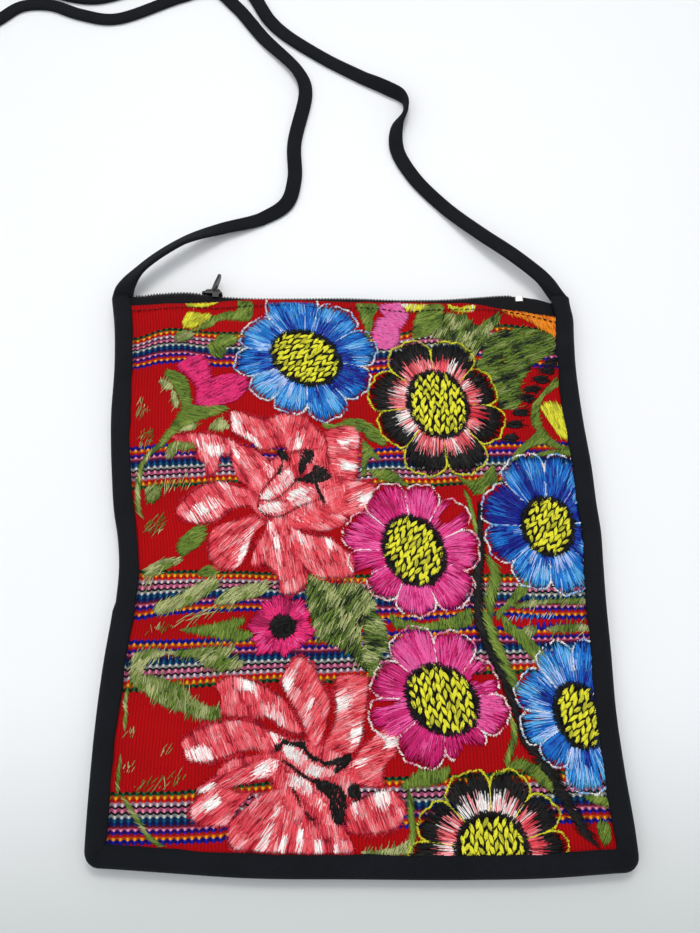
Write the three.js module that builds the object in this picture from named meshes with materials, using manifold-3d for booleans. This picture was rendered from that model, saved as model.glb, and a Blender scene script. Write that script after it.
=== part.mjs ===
// A flat shoulder bag lying on its back: two cloth panels held along three edges by a folded binding,
// a coil zip along the top edge, and a flat strap from one end of the binding to the other.
// Millimetres. X runs along the zip, Y from the bottom edge to the zip, Z up from the surface below.
// The origin is the middle of the bag's outline on that surface, without the strap.
import * as THREE from "three";
import { mergeVertices } from "three/addons/utils/BufferGeometryUtils.js";
import Module from "manifold-3d";

const { lerp, smoothstep, degToRad } = THREE.MathUtils;

// Heights in the outline tables are counted from the lowest point of the bottom edge
const BOTTOM_Y = -121.2;
// Height of the middle of the bound edge above the surface
const EDGE_Z = 4.6;
// Clearance between pieces that are sewn to each other
const GAP = 0.3;

// Binding: a strip folded over the edge
const BINDING_WALL = 1.0;
const BINDING_LIP = 7.8;
const BINDING_ROUND = 1.4;
const BINDING_CHAMFER = 0.42;
const BINDING_INNER_BEND = 0.8;
const CORNER_RADIUS = 8.5;
const LEFT_END = 230;
const RIGHT_END = 227;
const SIDE_STEPS = 16;
const CORNER_STEPS = 5;
const BOTTOM_STEPS = 12;

// Half the height of the space inside the binding, and where it widens to take the zip's tapes
const CHANNEL_HALF = 1.75;
const CHANNEL_HALF_AT_ZIP = 3.2;
const CHANNEL_WIDENS = { from: 188, to: 206 };

// Cloth panels
const FRONT_WALL = 1.3;
const BACK_WALL = 1.15;
const PANEL_TUCK = 2.6;
const PANEL_CORNER = CORNER_RADIUS - PANEL_TUCK;
const CROWN = 4.0;
const CROWN_AT_ZIP = 0.75;
const SAG_AT_ZIP = 0.6;
const FRONT_RAMP = 40;
const BACK_RAMP = 34;
const HEAD_RAMP = 34;
const ZIP_RAMP = 20;
const FRONT_GRID = { columns: 20, rows: 24 };
const BACK_GRID = { columns: 14, rows: 16 };
// How far the grid lines crowd towards the edges, from 0 for even steps to 1
const EDGE_CROWDING = 0.55;

// Zip: tapes, coils, and the stretch left of the slider where the zip is open
const TAPE_WALL = 1.0;
const TAPE_UNDER_PANEL = 9;
const TAPE_LOW = 0.3;
const TAPE_HIGH = 1.0;
const TAPE_GRID = { columns: 36, rows: 2 };
const COIL_DEPTH = 2.2;
const COIL_LOW = 0.15;
const COIL_HIGH = 1.95;
const COIL_LEFT = -87.5;
const COIL_RIGHT = 70.2;
const COIL_STEPS = 48;
const COIL_SIDES = 8;
const MOUTH = { left: -84, right: -54, lift: 3.8, drop: 0.8, reach: 40, tapeShare: 0.8 };
const STOP = { left: 70.5, right: 73.9, depth: 2.6, height: 4.6, bevel: 0.4 };

// Slider, bail and pull
const SLIDER_X = -55.5;
const SLIDER = { length: 8.4, wideHalf: 3.4, narrowHalf: 2.8, corner: 1.2, plate: 0.9, innerHalf: 0.7 };
const POST = { length: 1.6, low: 0.1, high: 1.2 };
const FLANGE = { length: 2.7, low: 2.65, high: 3.4, reach: 0.6 };
const BAIL = { halfLength: 3.3, wire: 0.8, opening: 1.8, width: 1.2 };
const PULL = { reach: 9.5, rootHalf: 2.5, tipHalf: 2.0, thick: 0.9, bar: 0.55, holeEnd: 4.0, holeHalf: 1.1 };
const PULL_ANGLE = 72;
const ROUND_SEGMENTS = 4;

// Strap
const STRAP_WIDTH = 6.4;
const STRAP_THICK = 2.0;
const STRAP_ROOT = { width: 7.6, thick: 6.0, length: 12 };
const STRAP_EDGE = 0.5;
const STRAP_REST = 0.05;
const STRAP_STEPS = 84;

// Left and right edges of the bag at heights above its bottom edge
const SIDE_ROWS = [
  { up: 0, left: -91.5, right: 97.6 },
  { up: 15, left: -91.7, right: 97.2 },
  { up: 35, left: -91.6, right: 95.8 },
  { up: 56, left: -90.7, right: 94.9 },
  { up: 78, left: -89.0, right: 95.3 },
  { up: 100, left: -86.9, right: 95.5 },
  { up: 112, left: -86.6, right: 95.9 },
  { up: 124, left: -87.8, right: 96.3 },
  { up: 136, left: -90.2, right: 95.7 },
  { up: 149, left: -91.8, right: 95.4 },
  { up: 175, left: -94.0, right: 93.7 },
  { up: 202, left: -94.3, right: 93.2 },
  { up: 216, left: -95.3, right: 94.0 },
  { up: 231, left: -97.5, right: 94.9 },
];

// Height of the bottom edge along the bag
const BOTTOM_ROWS = [
  { x: -85, up: 5.4 },
  { x: -66, up: 3.9 },
  { x: -35, up: 1.6 },
  { x: 0, up: 0.8 },
  { x: 40, up: 0.1 },
  { x: 67, up: 0.3 },
  { x: 90, up: 1.6 },
];

// Height of the panels' top edge and of the middle of the zip along the bag
const TOP_ROWS = [
  { x: -92, panel: 225.6, zip: 227.8 },
  { x: -82, panel: 225.4, zip: 228.8 },
  { x: -70, panel: 225.0, zip: 229.8 },
  { x: -55.5, panel: 226.4, zip: 230.0 },
  { x: -42, panel: 227.6, zip: 229.0 },
  { x: -19, panel: 226.9, zip: 228.4 },
  { x: 0, panel: 225.8, zip: 228.2 },
  { x: 22, panel: 225.3, zip: 227.0 },
  { x: 41, panel: 224.6, zip: 226.4 },
  { x: 54, panel: 224.0, zip: 226.7 },
  { x: 66, panel: 221.4, zip: 227.4 },
  { x: 76, panel: 219.8, zip: 226.8 },
  { x: 88, panel: 217.8, zip: 224.2 },
];

// Soft dents (depth above zero) and puckers (below zero) in the front cloth
const DENT_ROWS = [
  { x: -66, up: 112, spanX: 24, spanY: 15, depth: 1.3 },
  { x: -70, up: 150, spanX: 14, spanY: 10, depth: -0.7 },
  { x: -72, up: 78, spanX: 14, spanY: 12, depth: -0.6 },
  { x: 26, up: 190, spanX: 34, spanY: 14, depth: 0.8 },
  { x: 62, up: 64, spanX: 20, spanY: 26, depth: 0.7 },
  { x: -20, up: 48, spanX: 30, spanY: 16, depth: 0.6 },
];

// Route of the strap from the left end of the binding to the right end. Lift is how far the strap's
// lower side is held off the surface, and twist turns it about its line, 90 degrees being on edge.
const STRAP_ROWS = [
  { x: -93.2, y: 109.5, lift: 3.6, twist: 0 },
  { x: -91.6, y: 114.6, lift: 4.6, twist: 0 },
  { x: -84.5, y: 123.2, lift: 5.8, twist: 0 },
  { x: -69, y: 135.8, lift: 5.2, twist: 0 },
  { x: -53.5, y: 144.8, lift: 2, twist: 0 },
  { x: -36, y: 151.6, lift: 0, twist: 0 },
  { x: -25.4, y: 158.8, lift: 0, twist: 15 },
  { x: -21.8, y: 172, lift: 0, twist: 10 },
  { x: -22, y: 192, lift: 0, twist: 0 },
  { x: -17, y: 222, lift: 0, twist: 15 },
  { x: -20.5, y: 233, lift: 0, twist: 20 },
  { x: -36.8, y: 254, lift: 0, twist: 0 },
  { x: -50, y: 273.4, lift: 0, twist: 0 },
  { x: -61.5, y: 284.6, lift: 0, twist: 0 },
  { x: -77, y: 280.4, lift: 0, twist: 0 },
  { x: -108, y: 267.2, lift: 0, twist: 0 },
  { x: -124.7, y: 270.5, lift: 0, twist: 0 },
  { x: -139.6, y: 276.6, lift: 0, twist: 0 },
  { x: -153, y: 276, lift: 0, twist: 0 },
  { x: -164, y: 267.2, lift: 0, twist: 0 },
  { x: -177, y: 257.8, lift: 0, twist: 0 },
  { x: -192.5, y: 265, lift: 0, twist: 0 },
  { x: -197, y: 296, lift: 0, twist: 0 },
  { x: -180, y: 328, lift: 0, twist: 0 },
  { x: -146, y: 341, lift: 0, twist: 0 },
  { x: -32, y: 341, lift: 0, twist: 0 },
  { x: -20, y: 336.5, lift: 0, twist: 0 },
  { x: -15.5, y: 326, lift: 0, twist: 0 },
  { x: -20, y: 315.5, lift: 0, twist: 0 },
  { x: -32, y: 311, lift: 0, twist: 0 },
  { x: -144, y: 313.5, lift: 0, twist: 0 },
  { x: -155.5, y: 309.5, lift: 0, twist: 0 },
  { x: -160, y: 300, lift: 0, twist: 0 },
  { x: -155, y: 290.5, lift: 0, twist: 0 },
  { x: -143, y: 286.5, lift: 0, twist: 0 },
  { x: -118, y: 280.2, lift: 0, twist: 0 },
  { x: -78, y: 295, lift: 0, twist: 0 },
  { x: -59, y: 295.4, lift: 0, twist: 0 },
  { x: -44.5, y: 284, lift: 0, twist: 0 },
  { x: -34.4, y: 265.4, lift: 0, twist: 0 },
  { x: -26.6, y: 256, lift: 0, twist: 0 },
  { x: -7.1, y: 240.2, lift: 0, twist: 0 },
  { x: 9.5, y: 229, lift: 0, twist: 8 },
  { x: 21, y: 221.4, lift: 0, twist: 35 },
  { x: 28.2, y: 214.8, lift: 0, twist: 82 },
  { x: 28.4, y: 208.2, lift: 0, twist: 80 },
  { x: 24.4, y: 199.8, lift: 0, twist: 35 },
  { x: 24, y: 188, lift: 0, twist: 5 },
  { x: 31, y: 172.6, lift: 0, twist: 0 },
  { x: 44, y: 156, lift: 0.3, twist: 0 },
  { x: 58, y: 140.6, lift: 3.2, twist: 0 },
  { x: 72, y: 127, lift: 5.4, twist: 0 },
  { x: 84.2, y: 114.8, lift: 5, twist: 0 },
  { x: 90.6, y: 106.5, lift: 3.6, twist: 0 },
];

// A smooth function through one column of a table whose rows are in order of another column
function readColumn(rows, along, value) {
  const places = rows.map((row) => row[along]);
  const values = rows.map((row) => row[value]);
  const curve = new THREE.CubicInterpolant(places, values, 1, [0]);
  return (place) => curve.evaluate(place)[0];
}

const leftEdge = readColumn(SIDE_ROWS, "up", "left");
const rightEdge = readColumn(SIDE_ROWS, "up", "right");
const bottomUp = readColumn(BOTTOM_ROWS, "x", "up");
const panelTop = readColumn(TOP_ROWS, "x", "panel");
const zipUp = readColumn(TOP_ROWS, "x", "zip");

// Half height of the binding's channel
function channelHalf(up) {
  const widening = smoothstep(up, CHANNEL_WIDENS.from, CHANNEL_WIDENS.to);
  return lerp(CHANNEL_HALF, CHANNEL_HALF_AT_ZIP, widening);
}

// Rises from 0 at the binding's lips on both sides to 1 at the ramp's length inside them
function awayFromSides(x, up, ramp) {
  const left = leftEdge(up) + BINDING_LIP;
  const right = rightEdge(up) - BINDING_LIP;
  return smoothstep(x, left, left + ramp) * (1 - smoothstep(x, right - ramp, right));
}

// Rises from 0 at the bottom lip to 1 at the ramp's length above it
function awayFromBottom(x, up, ramp) {
  const lip = bottomUp(x) + BINDING_LIP;
  return smoothstep(up, lip, lip + ramp);
}

// Rises to 1 at the panels' top edge
function nearZip(x, up, ramp) {
  const top = panelTop(x);
  return smoothstep(up, top - ramp, top);
}

// How far the zip's two halves stand apart along the bag, from 0 to 1
function mouthOpen(x) {
  const share = (x - MOUTH.left) / (MOUTH.right - MOUTH.left);
  return share > 0 && share < 1 ? Math.sin(Math.PI * share) : 0;
}

// Underside of the front panel above the surface
function frontUnderside(x, up) {
  const seat = EDGE_Z + channelHalf(up) - GAP - FRONT_WALL;
  const head = nearZip(x, up, HEAD_RAMP);
  const middle = awayFromSides(x, up, FRONT_RAMP) * awayFromBottom(x, up, FRONT_RAMP) * (1 - head);
  const lift = CROWN * middle + CROWN_AT_ZIP * awayFromSides(x, up, ZIP_RAMP) * head;
  const mouth = MOUTH.lift * mouthOpen(x) * nearZip(x, up, MOUTH.reach);
  let dents = 0;
  for (const dent of DENT_ROWS) {
    const across = (x - dent.x) / dent.spanX;
    const along = (up - dent.up) / dent.spanY;
    dents += dent.depth * Math.exp(-across * across - along * along);
  }
  return seat + lift + mouth - dents * middle;
}

// Underside of the back panel above the surface, flat at 0 over the middle
function backUnderside(x, up) {
  const seat = EDGE_Z - channelHalf(up) + GAP;
  const head = nearZip(x, up, HEAD_RAMP);
  const flat = awayFromSides(x, up, BACK_RAMP) * awayFromBottom(x, up, BACK_RAMP) * (1 - head);
  const sag = SAG_AT_ZIP * awayFromSides(x, up, ZIP_RAMP) * head;
  const mouth = MOUTH.drop * mouthOpen(x) * nearZip(x, up, MOUTH.reach);
  return (seat - sag - mouth) * (1 - flat);
}

// Even shares from 0 to 1, drawn in towards both ends
function crowdedShares(steps) {
  const shares = [];
  for (let i = 0; i <= steps; i += 1) {
    const even = i / steps;
    const crowded = 0.5 - 0.5 * Math.cos(Math.PI * even);
    shares.push(lerp(even, crowded, EDGE_CROWDING));
  }
  return shares;
}

// A geometry from vertices and triangles
function meshGeometry(vertices, triangles) {
  const geometry = new THREE.BufferGeometry();
  geometry.setAttribute("position", new THREE.Float32BufferAttribute(vertices.flat(), 3));
  geometry.setIndex(triangles.flat());
  geometry.computeVertexNormals();
  return geometry;
}

// A closed wall over a grid: the surface gives x, y and the heights of its lower and upper sides
function wallGeometry(acrossShares, alongShares, surface) {
  const vertices = [];
  const triangles = [];
  const columns = acrossShares.length;
  const rows = alongShares.length;
  const lower = (i, j) => 2 * (j * columns + i);
  const upper = (i, j) => lower(i, j) + 1;
  for (const v of alongShares) {
    for (const u of acrossShares) {
      const point = surface(u, v);
      vertices.push([point.x, point.y, point.low], [point.x, point.y, point.high]);
    }
  }
  const quad = (a, b, c, d) => triangles.push([a, b, c], [a, c, d]);
  for (let j = 0; j + 1 < rows; j += 1) {
    for (let i = 0; i + 1 < columns; i += 1) {
      quad(upper(i, j), upper(i + 1, j), upper(i + 1, j + 1), upper(i, j + 1));
      quad(lower(i, j), lower(i, j + 1), lower(i + 1, j + 1), lower(i + 1, j));
    }
  }
  for (let i = 0; i + 1 < columns; i += 1) {
    const last = rows - 1;
    quad(lower(i, 0), lower(i + 1, 0), upper(i + 1, 0), upper(i, 0));
    quad(lower(i + 1, last), lower(i, last), upper(i, last), upper(i + 1, last));
  }
  for (let j = 0; j + 1 < rows; j += 1) {
    const last = columns - 1;
    quad(lower(0, j + 1), lower(0, j), upper(0, j), upper(0, j + 1));
    quad(lower(last, j), lower(last, j + 1), upper(last, j + 1), upper(last, j));
  }
  return meshGeometry(vertices, triangles);
}

// A closed skin over rings of points. The section gives the rings' shape for the two end faces and
// runs anticlockwise when it is seen against the direction of travel.
function loftGeometry(rings, section) {
  const sides = section.length;
  const vertices = rings.flat().map((point) => point.toArray());
  const triangles = [];
  for (let r = 0; r + 1 < rings.length; r += 1) {
    for (let s = 0; s < sides; s += 1) {
      const next = (s + 1) % sides;
      const near = r * sides;
      const far = near + sides;
      triangles.push([near + s, near + next, far + next], [near + s, far + next, far + s]);
    }
  }
  const lastRing = (rings.length - 1) * sides;
  for (const [a, b, c] of THREE.ShapeUtils.triangulateShape(section, [])) {
    triangles.push([c, b, a], [lastRing + a, lastRing + b, lastRing + c]);
  }
  return meshGeometry(vertices, triangles);
}

// A point of a panel, held in by the binding on three sides and round at the lower corners
function panelPoint(u, v) {
  const roughUp = v * LEFT_END;
  const roughX = lerp(leftEdge(roughUp), rightEdge(roughUp), u);
  const bottom = bottomUp(roughX) + PANEL_TUCK;
  const up = lerp(bottom, panelTop(roughX), v);
  const short = Math.max(PANEL_CORNER - (up - bottom), 0);
  const inset = PANEL_TUCK + PANEL_CORNER - Math.sqrt(PANEL_CORNER ** 2 - short ** 2);
  return { x: lerp(leftEdge(up) + inset, rightEdge(up) - inset, u), up };
}

// A cloth panel from the height of its underside
function panelGeometry(grid, underside, wall) {
  const across = crowdedShares(grid.columns);
  const along = crowdedShares(grid.rows);
  return wallGeometry(across, along, (u, v) => {
    const { x, up } = panelPoint(u, v);
    const low = underside(x, up);
    return { x, y: BOTTOM_Y + up, low, high: low + wall };
  });
}

// Outer edge of the binding from the zip's left end down, along the bottom and up on the right
function bindingPath() {
  const path = [];
  const leftCentre = leftEdge(CORNER_RADIUS) + CORNER_RADIUS;
  const rightCentre = rightEdge(CORNER_RADIUS) - CORNER_RADIUS;
  const leftTurn = bottomUp(leftCentre) + CORNER_RADIUS;
  const rightTurn = bottomUp(rightCentre) + CORNER_RADIUS;
  const corner = (centreX, centreUp, fromAngle) => {
    for (let i = 1; i < CORNER_STEPS; i += 1) {
      const angle = degToRad(fromAngle + (90 * i) / CORNER_STEPS);
      path.push([centreX + CORNER_RADIUS * Math.cos(angle), centreUp + CORNER_RADIUS * Math.sin(angle)]);
    }
  };
  for (let i = 0; i <= SIDE_STEPS; i += 1) {
    const up = lerp(LEFT_END, leftTurn, i / SIDE_STEPS);
    path.push([leftEdge(up), up]);
  }
  corner(leftCentre, leftTurn, 180);
  for (let i = 0; i <= BOTTOM_STEPS; i += 1) {
    const x = lerp(leftCentre, rightCentre, i / BOTTOM_STEPS);
    path.push([x, bottomUp(x)]);
  }
  corner(rightCentre, rightTurn, 270);
  for (let i = 0; i <= SIDE_STEPS; i += 1) {
    const up = lerp(rightTurn, RIGHT_END, i / SIDE_STEPS);
    path.push([rightEdge(up), up]);
  }
  return path.map(([x, up]) => new THREE.Vector2(x, up));
}

// Section of the binding: distance in from the outer edge, and height from the middle of the edge
function bindingSection(half) {
  const out = half + BINDING_WALL;
  const bend = BINDING_INNER_BEND;
  const corner = BINDING_CHAMFER;
  const points = [
    [BINDING_LIP, out],
    [BINDING_ROUND, out],
    [corner, out - corner],
    [0, out - BINDING_ROUND],
    [0, BINDING_ROUND - out],
    [corner, corner - out],
    [BINDING_ROUND, -out],
    [BINDING_LIP, -out],
    [BINDING_LIP, -half],
    [BINDING_WALL + bend, -half],
    [BINDING_WALL, bend - half],
    [BINDING_WALL, half - bend],
    [BINDING_WALL + bend, half],
    [BINDING_LIP, half],
  ];
  return points.map(([inward, height]) => new THREE.Vector2(inward, height));
}

// The binding carried along its path, with its lips pointing to the inside of the bag
function bindingGeometry() {
  const path = bindingPath();
  const last = path.length - 1;
  const rings = path.map((point, i) => {
    const before = path[Math.max(i - 1, 0)];
    const after = path[Math.min(i + 1, last)];
    const ends = i === 0 || i === last;
    const travel = after.clone().sub(before).normalize();
    const square = new THREE.Vector2(-Math.sign(travel.y), 0);
    const inward = ends ? square : new THREE.Vector2(-travel.y, travel.x);
    return bindingSection(channelHalf(point.y)).map((corner) => {
      const place = point.clone().addScaledVector(inward, corner.x);
      return new THREE.Vector3(place.x, BOTTOM_Y + place.y, EDGE_Z + corner.y);
    });
  });
  return loftGeometry(rings, bindingSection(CHANNEL_HALF_AT_ZIP));
}

// A zip tape from under the panel's top edge to its coil; side is 1 for the front, -1 for the back
function tapeGeometry(side) {
  const across = crowdedShares(TAPE_GRID.columns);
  const along = crowdedShares(TAPE_GRID.rows);
  const travel = side > 0 ? MOUTH.lift : -MOUTH.drop;
  return wallGeometry(across, along, (u, v) => {
    const roughX = lerp(leftEdge(LEFT_END), rightEdge(RIGHT_END), u);
    const up = lerp(panelTop(roughX) - TAPE_UNDER_PANEL, zipUp(roughX) - COIL_DEPTH / 2 - GAP, v);
    const x = lerp(leftEdge(up) + PANEL_TUCK, rightEdge(up) - PANEL_TUCK, u);
    const apart = lerp(TAPE_LOW, TAPE_HIGH, awayFromSides(x, up, ZIP_RAMP));
    const mouth = travel * mouthOpen(x) * lerp(MOUTH.tapeShare, 1, v);
    const inner = EDGE_Z + side * apart + mouth;
    const outer = inner + side * TAPE_WALL;
    return { x, y: BOTTOM_Y + up, low: Math.min(inner, outer), high: Math.max(inner, outer) };
  });
}

// A coil as a bar of its outer form along the zip
function coilGeometry(side) {
  const half = COIL_DEPTH / 2;
  const middle = (COIL_LOW + COIL_HIGH) / 2;
  const tall = (COIL_HIGH - COIL_LOW) / 2;
  const travel = side > 0 ? MOUTH.lift : -MOUTH.drop;
  const halfTurn = Math.PI / COIL_SIDES;
  const reach = Math.cos(halfTurn);
  const section = [];
  for (let corner = 0; corner < COIL_SIDES; corner += 1) {
    const angle = halfTurn * (2 * corner + 1);
    section.push(new THREE.Vector2((half * Math.cos(angle)) / reach, (tall * Math.sin(angle)) / reach));
  }
  const rings = [];
  for (let i = 0; i <= COIL_STEPS; i += 1) {
    const x = lerp(COIL_LEFT, COIL_RIGHT, i / COIL_STEPS);
    const y = BOTTOM_Y + zipUp(x);
    const z = EDGE_Z + side * middle + travel * mouthOpen(x);
    rings.push(section.map((corner) => new THREE.Vector3(x, y + corner.x, z + corner.y)));
  }
  return loftGeometry(rings, section);
}

// The strap's route as one smooth line of points, with its twist at each
function strapLine() {
  const places = STRAP_ROWS.map((row) => new THREE.Vector3(row.x, row.y, row.lift));
  const curve = new THREE.CatmullRomCurve3(places);
  const lastRow = STRAP_ROWS.length - 1;
  const line = [];
  for (let i = 0; i <= STRAP_STEPS; i += 1) {
    const share = i / STRAP_STEPS;
    const row = Math.min(Math.floor(share * lastRow), lastRow - 1);
    const between = share * lastRow - row;
    const twist = degToRad(lerp(STRAP_ROWS[row].twist, STRAP_ROWS[row + 1].twist, between));
    const tall = STRAP_WIDTH * Math.sin(twist) + STRAP_THICK * Math.cos(twist);
    const point = curve.getPoint(share);
    point.z = STRAP_REST + Math.max(point.z, 0) + tall / 2;
    line.push({ point, travel: curve.getTangent(share), twist });
  }
  return line;
}

// Section of the strap with its long edges rounded off
function strapSection(width, thick) {
  const half = width / 2;
  const tall = thick / 2;
  const points = [
    [half, -tall + STRAP_EDGE],
    [half, tall - STRAP_EDGE],
    [half - STRAP_EDGE, tall],
    [STRAP_EDGE - half, tall],
    [-half, tall - STRAP_EDGE],
    [-half, STRAP_EDGE - tall],
    [STRAP_EDGE - half, -tall],
    [half - STRAP_EDGE, -tall],
  ];
  return points.map(([across, height]) => new THREE.Vector2(across, height));
}

// The strap: its section carried along the route, thicker where it grows out of the binding
function strapGeometry() {
  const line = strapLine();
  const up = new THREE.Vector3(0, 0, 1);
  const first = line[0].point;
  const last = line[line.length - 1].point;
  const rings = line.map(({ point, travel, twist }, i) => {
    const atEnd = i === 0 || i === line.length - 1;
    const heading = atEnd ? new THREE.Vector3(0, Math.sign(travel.y), 0) : travel;
    const level = new THREE.Vector3().crossVectors(up, heading).normalize();
    const across = level.clone().applyAxisAngle(heading, twist);
    const height = new THREE.Vector3().crossVectors(heading, across).normalize();
    const fromEnd = Math.min(point.distanceTo(first), point.distanceTo(last));
    const root = 1 - smoothstep(fromEnd, 0, STRAP_ROOT.length);
    const width = lerp(STRAP_WIDTH, STRAP_ROOT.width, root);
    const thick = lerp(STRAP_THICK, STRAP_ROOT.thick, root);
    return strapSection(width, thick).map((corner) =>
      point.clone().addScaledVector(across, corner.x).addScaledVector(height, corner.y),
    );
  });
  return loftGeometry(rings, strapSection(STRAP_WIDTH, STRAP_THICK));
}

const wasm = await Module();
wasm.setup();

// A closed geometry as a solid that can be joined to others
function solidOf(geometry) {
  const bare = geometry.clone();
  bare.deleteAttribute("normal");
  bare.deleteAttribute("uv");
  const merged = mergeVertices(bare);
  const vertProperties = merged.getAttribute("position").array;
  const triVerts = new Uint32Array(merged.getIndex().array);
  return new wasm.Manifold(new wasm.Mesh({ numProp: 3, vertProperties, triVerts }));
}

// Several overlapping geometries as one body
function joinGeometries(geometries) {
  const joined = geometries.map(solidOf).reduce((whole, piece) => whole.add(piece));
  const mesh = joined.getMesh();
  const geometry = new THREE.BufferGeometry();
  geometry.setAttribute("position", new THREE.BufferAttribute(mesh.vertProperties, 3));
  geometry.setIndex(new THREE.BufferAttribute(mesh.triVerts, 1));
  geometry.computeVertexNormals();
  return geometry;
}

// A shape drawn in X and Z, made thick along Y between two places
function plateAcrossY(shape, fromY, toY) {
  const options = { depth: toY - fromY, bevelEnabled: false, curveSegments: ROUND_SEGMENTS };
  const plate = new THREE.ExtrudeGeometry(shape, options);
  plate.rotateX(degToRad(90));
  plate.translate(0, toY, 0);
  return plate;
}

// Outline of a slider plate, wide at the open end of the zip
function sliderOutline(wideHalf, narrowHalf) {
  const half = SLIDER.length / 2;
  const corner = Math.min(SLIDER.corner, narrowHalf);
  const outline = new THREE.Shape();
  outline.moveTo(corner - half, -wideHalf);
  outline.lineTo(half - corner, -narrowHalf);
  outline.quadraticCurveTo(half, -narrowHalf, half, corner - narrowHalf);
  outline.lineTo(half, narrowHalf - corner);
  outline.quadraticCurveTo(half, narrowHalf, half - corner, narrowHalf);
  outline.lineTo(corner - half, wideHalf);
  outline.quadraticCurveTo(-half, wideHalf, -half, wideHalf - corner);
  outline.lineTo(-half, corner - wideHalf);
  outline.quadraticCurveTo(-half, -wideHalf, corner - half, -wideHalf);
  return outline;
}

// A box between two corners
function boxBetween(low, high) {
  const size = new THREE.Vector3().subVectors(high, low);
  const centre = new THREE.Vector3().addVectors(low, high).multiplyScalar(0.5);
  return new THREE.BoxGeometry(size.x, size.y, size.z).translate(centre.x, centre.y, centre.z);
}

// Distances from the middle of the zip, outwards along Y
const PLATE_START = COIL_DEPTH / 2 + GAP;
const PLATE_END = PLATE_START + SLIDER.plate;
const PIVOT_OUT = PLATE_END + BAIL.opening / 2;

// The slider about its own middle: two plates, the post between the coils, two flanges and the bail
function sliderGeometry() {
  const half = SLIDER.length / 2;
  const outer = plateAcrossY(sliderOutline(SLIDER.wideHalf, SLIDER.narrowHalf), PLATE_START, PLATE_END);
  const inner = plateAcrossY(sliderOutline(SLIDER.innerHalf, SLIDER.innerHalf), -PLATE_END, -PLATE_START);
  const sunk = SLIDER.plate / 2;
  const post = boxBetween(
    new THREE.Vector3(-half + GAP, -PLATE_START - sunk, POST.low),
    new THREE.Vector3(-half + GAP + POST.length, PLATE_START + sunk, POST.high),
  );
  const flangeEnd = half - SLIDER.corner;
  const flanges = [FLANGE.low, -FLANGE.high].map((low) =>
    boxBetween(
      new THREE.Vector3(flangeEnd - FLANGE.length, -FLANGE.reach, low),
      new THREE.Vector3(flangeEnd, PLATE_START + sunk, low + FLANGE.high - FLANGE.low),
    ),
  );
  const bailTop = BAIL.opening + BAIL.wire;
  const arch = new THREE.Shape();
  arch.moveTo(-BAIL.halfLength, -sunk);
  arch.lineTo(BAIL.wire - BAIL.halfLength, -sunk);
  arch.lineTo(BAIL.wire - BAIL.halfLength, BAIL.opening);
  arch.lineTo(BAIL.halfLength - BAIL.wire, BAIL.opening);
  arch.lineTo(BAIL.halfLength - BAIL.wire, -sunk);
  arch.lineTo(BAIL.halfLength, -sunk);
  arch.lineTo(BAIL.halfLength, BAIL.opening);
  arch.lineTo(BAIL.halfLength - BAIL.wire, bailTop);
  arch.lineTo(BAIL.wire - BAIL.halfLength, bailTop);
  arch.lineTo(-BAIL.halfLength, BAIL.opening);
  const bail = new THREE.ExtrudeGeometry(arch, { depth: BAIL.width, bevelEnabled: false });
  bail.translate(0, PLATE_END, -BAIL.width / 2);
  return joinGeometries([outer, inner, post, ...flanges, bail]);
}

// The pull about its pivot: a tab along X whose slot lets the bail through
function pullGeometry() {
  const outline = new THREE.Shape();
  outline.moveTo(-PULL.bar, -PULL.rootHalf);
  outline.lineTo(PULL.holeEnd, -PULL.rootHalf);
  outline.lineTo(PULL.reach - PULL.tipHalf, -PULL.tipHalf);
  outline.absarc(PULL.reach - PULL.tipHalf, 0, PULL.tipHalf, degToRad(-90), degToRad(90), false);
  outline.lineTo(PULL.holeEnd, PULL.rootHalf);
  outline.lineTo(-PULL.bar, PULL.rootHalf);
  const slot = new THREE.Path();
  slot.moveTo(PULL.bar, -PULL.holeHalf);
  slot.lineTo(PULL.bar, PULL.holeHalf);
  slot.lineTo(PULL.holeEnd, PULL.holeHalf);
  slot.lineTo(PULL.holeEnd, -PULL.holeHalf);
  outline.holes.push(slot);
  return plateAcrossY(outline, -PULL.thick / 2, PULL.thick / 2);
}

// The metal stop about its own middle
function stopGeometry() {
  const halfLong = (STOP.right - STOP.left) / 2;
  const halfTall = STOP.height / 2;
  const outline = new THREE.Shape();
  outline.moveTo(STOP.bevel - halfLong, -halfTall);
  outline.lineTo(halfLong - STOP.bevel, -halfTall);
  outline.lineTo(halfLong, STOP.bevel - halfTall);
  outline.lineTo(halfLong, halfTall - STOP.bevel);
  outline.lineTo(halfLong - STOP.bevel, halfTall);
  outline.lineTo(STOP.bevel - halfLong, halfTall);
  outline.lineTo(-halfLong, halfTall - STOP.bevel);
  outline.lineTo(-halfLong, STOP.bevel - halfTall);
  return plateAcrossY(outline, -STOP.depth / 2, STOP.depth / 2);
}

// A named piece with its own finish
function piece(name, geometry, color, roughness, metalness = 0) {
  const finish = new THREE.MeshStandardMaterial({ color, roughness, metalness });
  const mesh = new THREE.Mesh(geometry, finish);
  mesh.name = name;
  return mesh;
}

const bag = new THREE.Group();
bag.name = "shoulder_bag";

bag.add(piece("front_panel", panelGeometry(FRONT_GRID, frontUnderside, FRONT_WALL), 0xa8202c, 0.9));
bag.add(piece("back_panel", panelGeometry(BACK_GRID, backUnderside, BACK_WALL), 0x17161c, 0.92));
bag.add(piece("binding", bindingGeometry(), 0x16151d, 0.88));
bag.add(piece("zip_tape_front", tapeGeometry(1), 0x141318, 0.9));
bag.add(piece("zip_tape_back", tapeGeometry(-1), 0x141318, 0.9));
bag.add(piece("zip_coil_front", coilGeometry(1), 0x1b1a20, 0.5));
bag.add(piece("zip_coil_back", coilGeometry(-1), 0x1b1a20, 0.5));

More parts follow.
